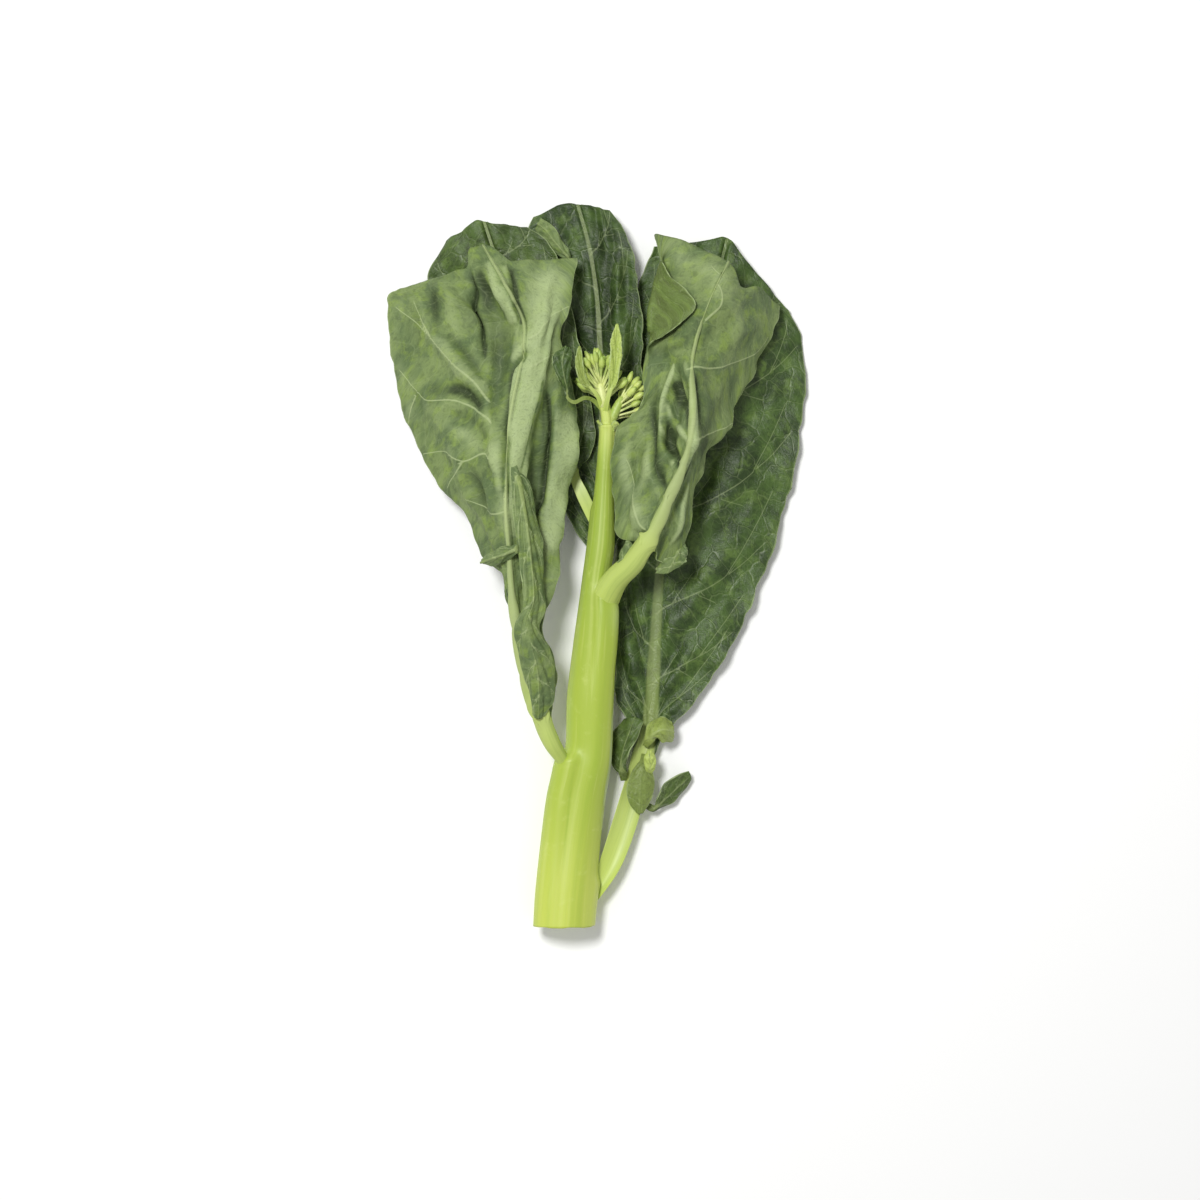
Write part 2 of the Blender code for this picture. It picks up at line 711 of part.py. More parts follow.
def bud_stalklets(head, keep_clear):
    """Start, way, stalklet length and bud size of each bud, by the golden angle from the top down."""
    base, top = np.array(head["branch"])
    aim = unit(top - base)
    first = unit(np.cross(aim, (0.0, 0.0, 1.0)))
    second = np.cross(first, aim)
    kept = []
    for number in range(head["count"]):
        share = (number + 0.5) / head["count"]
        lean = math.radians(head["widest"]) * math.sqrt(share)
        turn = math.radians(GOLDEN_ANGLE * number)
        way = math.cos(lean) * aim + math.sin(lean) * (math.cos(turn) * first + math.sin(turn) * second)
        bud = tuple(size * (SMALLEST_BUD + (1 - SMALLEST_BUD) * share) for size in head["bud"])
        start = top + (base - top) * 0.8 * share
        stalklet = (start, way, head["reach"] - bud[0] / 2, bud)
        distances = np.linalg.norm(bud_line(*stalklet)[:, None] - keep_clear[None], axis=-1)
        if distances.min() > bud[1] + BUD_CLEARANCE:
            kept.append(stalklet)
    return kept


def make_head(name, branch, stalklets, material):
    """The branch and its buds joined into one solid."""
    points, faces = branch_rings(branch)
    made = add_object(name, points, faces, material)
    buds = bpy.data.collections.new(name + "_buds")
    for stalklet in stalklets:
        points, faces = bud_turn(*stalklet)
        bud_object = add_object(name + "_bud", points, faces, material)
        bpy.context.scene.collection.objects.unlink(bud_object)
        buds.objects.link(bud_object)
    bpy.context.scene.collection.children.link(buds)
    join = made.modifiers.new("join_buds", "BOOLEAN")
    join.operation = "UNION"
    join.operand_type = "COLLECTION"
    join.collection = buds
    bpy.context.view_layer.objects.active = made
    bpy.ops.object.modifier_apply(modifier=join.name)
    for bud_object in list(buds.objects):
        bpy.data.objects.remove(bud_object)
    bpy.data.collections.remove(buds)
    made.data.shade_smooth()
    return made


def main():
    for old in list(bpy.data.objects):
        bpy.data.objects.remove(old)
    make_stem(plant_material("stem_skin", STEM_GREEN, 0.45))
    cutter = make_stem_cutter(plant_material("cutter", STEM_GREEN, 0.45))
    for name, leaf in LEAVES.items():
        make_leaf(name, leaf, plant_material(name + "_skin", LEAF_GREEN, 0.5), cutter)
    for name, leaf in BRACTS.items():
        make_leaf(name, leaf, plant_material(name + "_skin", BRACT_GREEN, 0.5), cutter)

    neighbours = (*BRACTS.values(), LEAVES["leaf_right"], LEAVES["leaf_left"])
    beside = [leaf_shape(leaf, 80, 12)[0].reshape(-1, 3) for leaf in neighbours]
    main_buds = bud_stalklets(HEADS["bud_head"], np.vstack(beside))
    for stalklet in main_buds:
        bud_radius = stalklet[3][1]
        beside += [bud_line(*stalklet) + step for step in side_steps(bud_radius)]
    beside.append(np.linspace(*HEADS["bud_head"]["branch"], 10))
    side_buds = bud_stalklets(HEADS["bud_spray"], np.vstack(beside))
    for name, buds in (("bud_head", main_buds), ("bud_spray", side_buds)):
        head = make_head(name, HEADS[name]["branch"], buds, plant_material(name + "_skin", BUD_GREEN, 0.5))
        trim_to_stem(head, cutter)


main()
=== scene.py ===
"""One cut stalk of Chinese broccoli on a pale table: fine skins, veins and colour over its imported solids.

Guide points are in millimetres from the middle of the cut end, with Z measured up from the table, and
+Y runs towards the bud head. Places named "seen" are pixels of the 1200 x 1200 photograph, whose camera
looks straight down, and seen_spots finds the leaf's places under them.
"""

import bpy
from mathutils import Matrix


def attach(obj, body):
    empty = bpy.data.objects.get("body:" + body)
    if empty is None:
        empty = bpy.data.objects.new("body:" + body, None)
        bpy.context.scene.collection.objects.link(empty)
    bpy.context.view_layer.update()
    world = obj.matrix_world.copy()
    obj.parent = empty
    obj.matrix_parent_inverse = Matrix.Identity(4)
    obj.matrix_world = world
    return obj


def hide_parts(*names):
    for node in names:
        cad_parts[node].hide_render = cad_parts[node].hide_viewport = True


bl_info = {
    "name": "Chinese broccoli stalk",
    "version": (1, 0, 0),
    "blender": (4, 5, 0),
    "location": "View3D > Sidebar > Stalk",
    "description": "Builds one stalk's stem, leaves and bud heads, and its table and light",
    "category": "Object",
}

import math
from dataclasses import dataclass

import bpy
import numpy as np
from bpy.props import FloatProperty, FloatVectorProperty, IntProperty, PointerProperty
from bpy.types import Operator, Panel, PropertyGroup
from mathutils.kdtree import KDTree

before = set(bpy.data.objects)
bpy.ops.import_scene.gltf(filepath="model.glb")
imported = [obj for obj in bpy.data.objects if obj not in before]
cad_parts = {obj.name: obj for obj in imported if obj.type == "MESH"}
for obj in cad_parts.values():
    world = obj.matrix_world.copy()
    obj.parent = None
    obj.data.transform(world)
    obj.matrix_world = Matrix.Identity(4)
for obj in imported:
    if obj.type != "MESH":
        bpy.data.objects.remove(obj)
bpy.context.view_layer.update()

MM = 0.001
UP = (0.0, 0.0, 1.0)
ASKEW = (0.31, -0.2, 0.93)  # a way that no stalklet runs
REST_SPOT = (0.9, 12.0, 0.0)  # guide point of the part's origin
SAME_POINT = 1e-7  # points of a tube that are this close in metres become one
LATTICE = 128  # the random hills repeat after so many of their size

# How the photograph was taken.
MM_PER_PIXEL = 0.35
CUT_END_PIXEL = (565, 922)
CAMERA_SPOT = (12.25, 112.7)  # guide point under the camera
CAMERA_HEIGHT = 1100.0
VIEW_WIDTH = 420.0
SAME_LAYER = 0.6  # places this close as seen are one layer above another

# The stem's middle line and radius from the cut end to the head.
STEM = (
    (0, 0, 9.7, 10),
    (0.9, 12, 9.6, 9.9),
    (2.8, 29, 9.3, 9.5),
    (4.9, 44, 9.9, 9.1),
    (7, 54, 10.8, 8.6),
    (8.2, 62, 11.5, 8),
    (8.5, 78, 12.8, 7.9),
    (9.1, 88, 13.5, 7.4),
    (9.9, 98, 14.2, 6.9),
    (10.4, 107, 14.9, 6.1),
    (10.4, 113, 15.4, 5.2),
    (10.9, 120, 15.9, 4.7),
    (12.4, 130, 16.6, 4.7),
    (13, 138, 17.2, 4.2),
    (13.5, 148, 17.9, 3.5),
    (14.1, 160, 18.8, 3),
    (14.6, 170, 19.6, 2.7),
    (14.6, 172.4, 19.8, 2.9),
    (14.5, 173.2, 19.9, 2),
    (14.4, 175.5, 20.1, 1.9),
    (13.7, 180.5, 20.5, 1.8),
)

# Where leaves and the side spray leave the stem: distance up the stem, angle round it from +X
# towards +Z in degrees, height of the swelling, and the length over which it fades below.
NODES = (
    (14, -12, 1.3, 14),
    (57, 150, 3.6, 60),
    (88, -95, 0.8, 20),
    (113, 50, 2.6, 34),
    (110.5, 8, 1.9, 24),
    (143, 205, 0.8, 20),
    (174.5, -5, 0.8, 10),
)
SWELLING_ANGLE = 34.0
SWELLING_SHOULDER = 1.15  # its flat top's angle, as a share of that
SWELLING_TOP = 3.0  # length over which it fades above

# A leaf's stalk is a line of points that starts inside the stem, with its half widths along it. Its guides
# run from the blade's base to its top edge: -1 is the left margin, 0 the midrib and 1 the right margin, as
# seen from above with the bud head away from the viewer. cells is rows, and columns a side. rib_depth is
# the rib's depth below the blade at the base and the top, and channel is how deep the upper side dips over
# it. rib_narrows is how sharply the rib narrows and its half width at the top. A pleat is its place across
# at its start and end, its half width, its height and the rows of guides between which it runs. quilting
# and ruffle are a height and a number of waves. tip draws the top edge out: place across, half width,
# length and how square it is. teeth is how far the margin's teeth stand out. side_veins is how many pairs
# grow by rule and how far they climb, as a share of the blade's length. vein_half_width is the thinnest and
# the widest. veining, rib_paint and stalk_paint are how much the side veins, the rib and the leaf stalk are
# coloured, and tone and under_tone are how young the upper side and the underside look.

# What every leaf has unless it says otherwise.
PLAIN_LEAF = {
    "upper_side_up": True,
    "channel": 0,
    "pleats": (),
    "teeth": 0,
    "side_veins": (0, 0),
    "vein_half_width": (0.16, 0.42),
    "veining": 1,
    "rib_paint": 0.85,
    "stalk_paint": 1,
    "tone": 0,
    "under_tone": 0,
}

# The five leaves.
LEAVES = {
    "leaf_lower": PLAIN_LEAF | {
        "side_veins": (6, 0.2),
        "cells": (230, 80),
        "stalk": ((6.5, 5, 9), (14.5, 18.5, 8.6), (18.8, 29, 7.4), (23.2, 43, 6.2), (26.8, 57, 5.4)),
        "stalk_half_width": (1.8, 3.6, 4.2, 4.2, 3.8),
        "channel": 1.1,
        "rib_depth": (4.6, 0.8),
        "rib_narrows": (1.9, 0.7),
        "guides": {
            -1: (
                (23.5, 68, 5.4), (18.4, 78, 4.6), (17.6, 95, 2.6), (17.8, 116, 1.8), (18.6, 143, 1.6),
                (20.3, 171, 1.6), (23.5, 199, 1.8), (26, 221, 2.2), (31, 236, 3),
            ),
            0: (
                (29.6, 71, 5), (30.8, 87, 4.8), (31.9, 105, 5), (33.3, 125, 5.4), (36, 148, 5.8),
                (40.3, 172, 6), (46.2, 197, 5.8), (52, 220, 5), (56, 236, 4),
            ),
            1: (
                (36, 68, 5.4), (45, 77, 5.4), (56, 93, 5.6), (65.5, 112, 5.6), (74, 136, 4.6),
                (80.5, 162, 3.4), (83.5, 185, 2.4), (83, 203, 2), (78, 214, 2.4),
            ),
        },
        "pleats": ((-0.5, -0.5, 0.22, -1.2, 2, 7), (0.45, 0.5, 0.2, 1.4, 1, 8)),
        "quilting": (1.1, 6),
        "ruffle": (1, 9),
        "tip": (0, 0.2, 3, 2),
        "rib_paint": 0.5,
        "veining": 0.45,
    },
    "leaf_back": PLAIN_LEAF | {
        "side_veins": (6, 0.18),
        "cells": (200, 60),
        "stalk": ((10, 80, 9), (10.5, 88, 5.2), (11.3, 99, 4.1), (12.3, 113, 4.2), (13, 125, 4.5)),
        "stalk_half_width": (2.6, 2.3),
        "rib_depth": (2.6, 0.7),
        "rib_narrows": (1.5, 0.7),
        "guides": {
            -1: (
                (8.6, 130, 4.9), (2, 141, 3.8), (-3.6, 158, 2.8), (-7.4, 179, 2.3), (-10.8, 200, 2.2),
                (-13.4, 220, 2.8), (-14.4, 235, 4.4), (-11, 246, 5.8),
            ),
            0: (
                (13, 134, 4.9), (13.3, 148, 5.2), (13.3, 165, 5.6), (13, 183, 5.9), (12.3, 200, 6.2),
                (11.2, 218, 6.8), (8.6, 235, 7.2), (4.6, 250, 7),
            ),
            1: (
                (17.4, 131, 5.8), (22.2, 142, 6.8), (26.3, 161, 7.8), (28, 181, 8.8), (27, 200, 9.8),
                (25.6, 221, 10.6), (22, 237, 10.6), (15.8, 248, 9),
            ),
        },
        "pleats": ((0.55, 0.5, 0.16, 2, 1, 7), (-0.3, -0.35, 0.16, -1, 2, 7)),
        "quilting": (0.8, 6),
        "ruffle": (1, 7),
        "tip": (-0.4, 0.3, 1.5, 2),
        "veining": 0.4,
        "rib_paint": 0.6,
    },
    "leaf_back_left": PLAIN_LEAF | {
        "side_veins": (5, 0.2),
        "cells": (150, 60),
        "stalk": ((12.4, 137, 16.4), (9.4, 142.5, 13.4), (6, 149.5, 11), (3, 157, 9.8)),
        "stalk_half_width": (2.3, 2),
        "rib_depth": (2.4, 0.7),
        "rib_narrows": (1.5, 0.7),
        "guides": {
            -1: (
                (-1.6, 161, 9.3), (-13, 168.5, 7.6), (-27, 180, 5.4), (-38.5, 194, 3.6), (-46, 210, 2.4),
                (-47.4, 226, 2.6), (-41, 238, 4.4),
            ),
            0: (
                (1, 163.5, 9.4), (-2.8, 175.7, 9.2), (-7, 189.7, 9.2), (-12.3, 205.5, 9.2),
                (-18.6, 221, 9.2), (-24, 232.4, 9), (-27.6, 243, 8.4),
            ),
            1: (
                (9.6, 164, 9), (9.6, 176.5, 9.2), (7, 192.5, 9.6), (3.4, 209, 10.2), (0.4, 224, 11),
                (-4.6, 235, 11.4), (-13, 242, 10.6),
            ),
        },
        "pleats": ((-0.55, -0.5, 0.16, 1.2, 1, 6),),
        "tone": 0.12,
        "quilting": (0.8, 5),
        "ruffle": (0.9, 6),
        "tip": (-0.2, 0.3, 2, 2),
        "veining": 0.5,
        "rib_paint": 0.7,
    },
    "leaf_left": PLAIN_LEAF | {
        "upper_side_up": False,
        "cells": (240, 92),
        "stalk": ((5.4, 46, 8.6), (0, 56.5, 15.6), (-4.2, 63.5, 20.2), (-7.2, 71, 22.6)),
        "stalk_half_width": (1, 2.1, 2.9, 3.2),
        "rib_depth": (4.4, 0.3),
        "rib_narrows": (2.8, 0.24),
        "guides": {
            -1: (
                (-12, 78.5, 23.2), (-14, 85, 23.8), (-16.4, 94, 24.4), (-18.2, 103.5, 24.8),
                (-19.8, 113, 25), (-22, 121, 23.8), (-27.6, 127.5, 20.6), (-36, 141.5, 16),
                (-43.8, 153.3, 12.4), (-50.4, 163.5, 9.4), (-57.4, 182, 5.8), (-61.6, 200, 3.2),
                (-62.6, 211, 2), (-62, 218.5, 1.8), (-58.5, 221.5, 2.6), (-53.6, 223.6, 3.6),
            ),
            0: (
                (-9.3, 78, 24.8), (-11.6, 85, 26), (-14, 94, 27.4), (-15.9, 103.5, 28.6),
                (-17.4, 113, 29.4), (-18.2, 120.5, 30), (-18.6, 128.5, 30.6), (-19.6, 141, 31.6),
                (-20, 153, 32.2), (-19.6, 165, 32.4), (-17.4, 180, 31.4), (-14.2, 196, 29.6),
                (-13.6, 206, 27.8), (-16.4, 214, 25.6), (-20, 221, 23), (-24.6, 229, 19.6),
            ),
            1: (
                (-3.6, 77.5, 23), (-2.8, 85, 23.6), (-3.6, 94, 24.8), (-7.6, 103, 25.6), (-3.6, 113, 25),
                (-1.8, 121, 23.6), (-0.4, 129, 22.4), (0.6, 141, 21.2), (3, 153, 20.4), (4.8, 164, 20.4),
                (4.4, 181, 21.2), (-0.2, 196, 24.2), (-0.6, 206, 24.4), (2.2, 215, 23), (3.8, 224, 20.8),
                (4.4, 231, 18.8),
            ),
        },
        "pleats": (
            (-0.2, -0.28, 0.09, -4, 7, 15.5), (-0.55, -0.6, 0.2, 2.6, 7, 15.5),
            (0.56, 0.52, 0.12, -6.5, 4.3, 11),
        ),
        "quilting": (0.6, 7),
        "ruffle": (1.2, 8),
        "tip": (-0.07, 0.22, 7.5, 6),
    },
    "leaf_right": PLAIN_LEAF | {
        "upper_side_up": False,
        "cells": (240, 92),
        "stalk": (
            (9.6, 102, 10.5), (13.3, 112.2, 15.6), (17.9, 120, 22), (23.6, 125.6, 27.4),
            (27.8, 131.4, 31.2),
        ),
        "stalk_half_width": (4.6, 5.3, 4.3, 3.9, 3.6),
        "rib_depth": (5.8, 0.3),
        "rib_narrows": (2.5, 0.26),
        "guides": {
            -1: (
                (24.2, 132.6, 28.6), (18.4, 134.6, 25.4), (16.8, 143, 24.2), (16, 157, 24.2),
                (16.4, 166, 24.6), (19.6, 173.6, 25.8), (27, 180.6, 27.8), (27.4, 195.6, 28.4),
                (44.8, 212, 32.8), (35.6, 224.6, 24.6), (30.5, 240.3, 11.4),
            ),
            -0.5: (
                (27.6, 134.6, 31), (25.6, 138.4, 31), (27, 147.5, 31.6), (29, 158, 32), (31.4, 168, 32.4),
                (33.4, 177.6, 32), (34.6, 188, 31.2), (33, 199, 28.8), (29.8, 206, 24), (33.2, 220.6, 20.4),
                (43, 236, 17.6),
            ),
            0: (
                (30.6, 136.6, 33), (33, 141.6, 35), (36.4, 149.4, 37.2), (40.2, 157.8, 38.6),
                (43, 167, 39.2), (43.8, 179, 39), (43.2, 190.6, 37.8), (44.6, 200.4, 36),
                (47.6, 209.4, 33.2), (51.6, 219, 29.6), (56.4, 228.6, 24.6),
            ),
            1: (
                (35, 124.6, 25.4), (40, 127.8, 24.6), (43.2, 137.4, 25.2), (46, 150, 26.4), (48.6, 160, 26),
                (55, 168.6, 23.2), (61, 181.4, 17.6), (66, 192, 13), (70, 201, 10.4), (73.6, 209.6, 9),
                (74.8, 215, 8.6),
            ),
        },
        "pleats": (
            (-0.72, -0.7, 0.1, -2.6, 0.5, 5.6), (-0.36, -0.3, 0.08, -3, 2, 7),
            (0.5, 0.45, 0.18, -2, 0.6, 4.4), (0.5, 0.55, 0.2, 2.2, 5, 10),
        ),
        "tone": 0.28,
        "quilting": (0.6, 5),
        "ruffle": (1, 7),
        "tip": (0.3, 0.16, -4.5, 2),
    },
}

# What every small leaf has unless it says otherwise.
SMALL_LEAF = PLAIN_LEAF | {
    "cells": (50, 18),
    "rib_depth": (0.4, 0.15),
    "rib_narrows": (4, 0.14),
    "vein_half_width": (0.09, 0.2),
    "veining": 0.3,
    "rib_paint": 0.45,
    "stalk_paint": 0.25,
    "quilting": (0.2, 3),
    "tip": (0, 0.3, 0, 2),
}

# The small leaves round the head.
BRACTS = {
    "bract_long": SMALL_LEAF | {
        "cells": (90, 18),
        "stalk": ((13.9, 176.5, 20.8), (14.6, 180.4, 24.2), (15.6, 184.2, 26)),
        "stalk_half_width": (0.9, 0.8),
        "stalk_paint": 0.9,
        "rib_depth": (0.8, 0.2),
        "rib_narrows": (5, 0.14),
        "guides": {
            -1: ((15, 187, 27), (15.5, 193, 28.4), (15.8, 199, 29), (16, 202, 29), (17.5, 206.2, 28.4)),
            0: ((16.6, 187, 26.2), (17.5, 193, 27.2), (17.8, 199, 27.8), (18, 202.4, 28), (18.1, 207, 28.2)),
            1: (
                (18.2, 187, 27), (19.3, 193, 28.2), (19.7, 199, 28.8), (19.5, 202, 28.8), (18.6, 206.2, 28.4),
            ),
        },
        "ruffle": (0.35, 3),
        "teeth": 0.14,
        "tone": 1,
        "under_tone": 1,
    },
    "bract_short": SMALL_LEAF | {
        "cells": (70, 16),
        "stalk": ((12.9, 178.5, 20.8), (11.4, 182.4, 23.8), (9.2, 185.2, 25.2)),
        "stalk_half_width": (0.7, 0.6),
        "stalk_paint": 0.9,
        "rib_depth": (0.6, 0.2),
        "rib_narrows": (5, 0.14),
        "guides": {
            -1: ((6.4, 186, 26), (4.2, 190, 27), (3.9, 195, 27.6), (4.6, 198.6, 27.8)),
            0: ((7.2, 187, 25.6), (5.6, 190.6, 26.4), (5.3, 195, 27), (5.2, 199.4, 27.6)),
            1: ((8, 188.2, 26), (6.9, 191.2, 27), (6.4, 195, 27.6), (5.7, 198.8, 27.8)),
        },
        "ruffle": (0.35, 3),
        "teeth": 0.14,
        "tone": 0.6,
        "under_tone": 0.6,
    },
    "bract_left": SMALL_LEAF | {
        "side_veins": (3, 0.25),
        "cells": (100, 24),
        "stalk": (
            (13.6, 177.4, 19.6), (10.2, 181, 21.8), (7, 181.8, 25.2), (3.6, 180.2, 27.6),
            (1.2, 181.6, 28.8),
        ),
        "stalk_half_width": (0.8, 0.6),
        "stalk_paint": 0.5,
        "rib_depth": (0.8, 0.2),
        "rib_narrows": (5, 0.14),
        "guides": {
            -1: (
                (-0.3, 184.6, 29.4), (-2.4, 188.8, 31), (-3.9, 193.4, 31.6), (-3.4, 196.4, 31.2),
                (-0.6, 198, 30.6),
            ),
            0: (
                (0.9, 184.8, 29.6), (0, 188.8, 31), (-0.6, 193, 31.4), (-0.2, 196.4, 31.2),
                (0.4, 198.6, 30.8),
            ),
            1: (
                (1.8, 184.8, 28.8), (2.1, 189.4, 29.6), (2.4, 193.6, 30), (2.6, 196.6, 30),
                (1.9, 198.7, 30.2),
            ),
        },
        "quilting": (0.3, 3),
        "ruffle": (0.3, 4),
        "tip": (0, 0.3, 0.6, 2),
        "teeth": 0.2,
        "veining": 0.15,
        "tone": 0.04,
        "rib_paint": 0.45,
        "vein_half_width": (0.07, 0.15),
    },
}

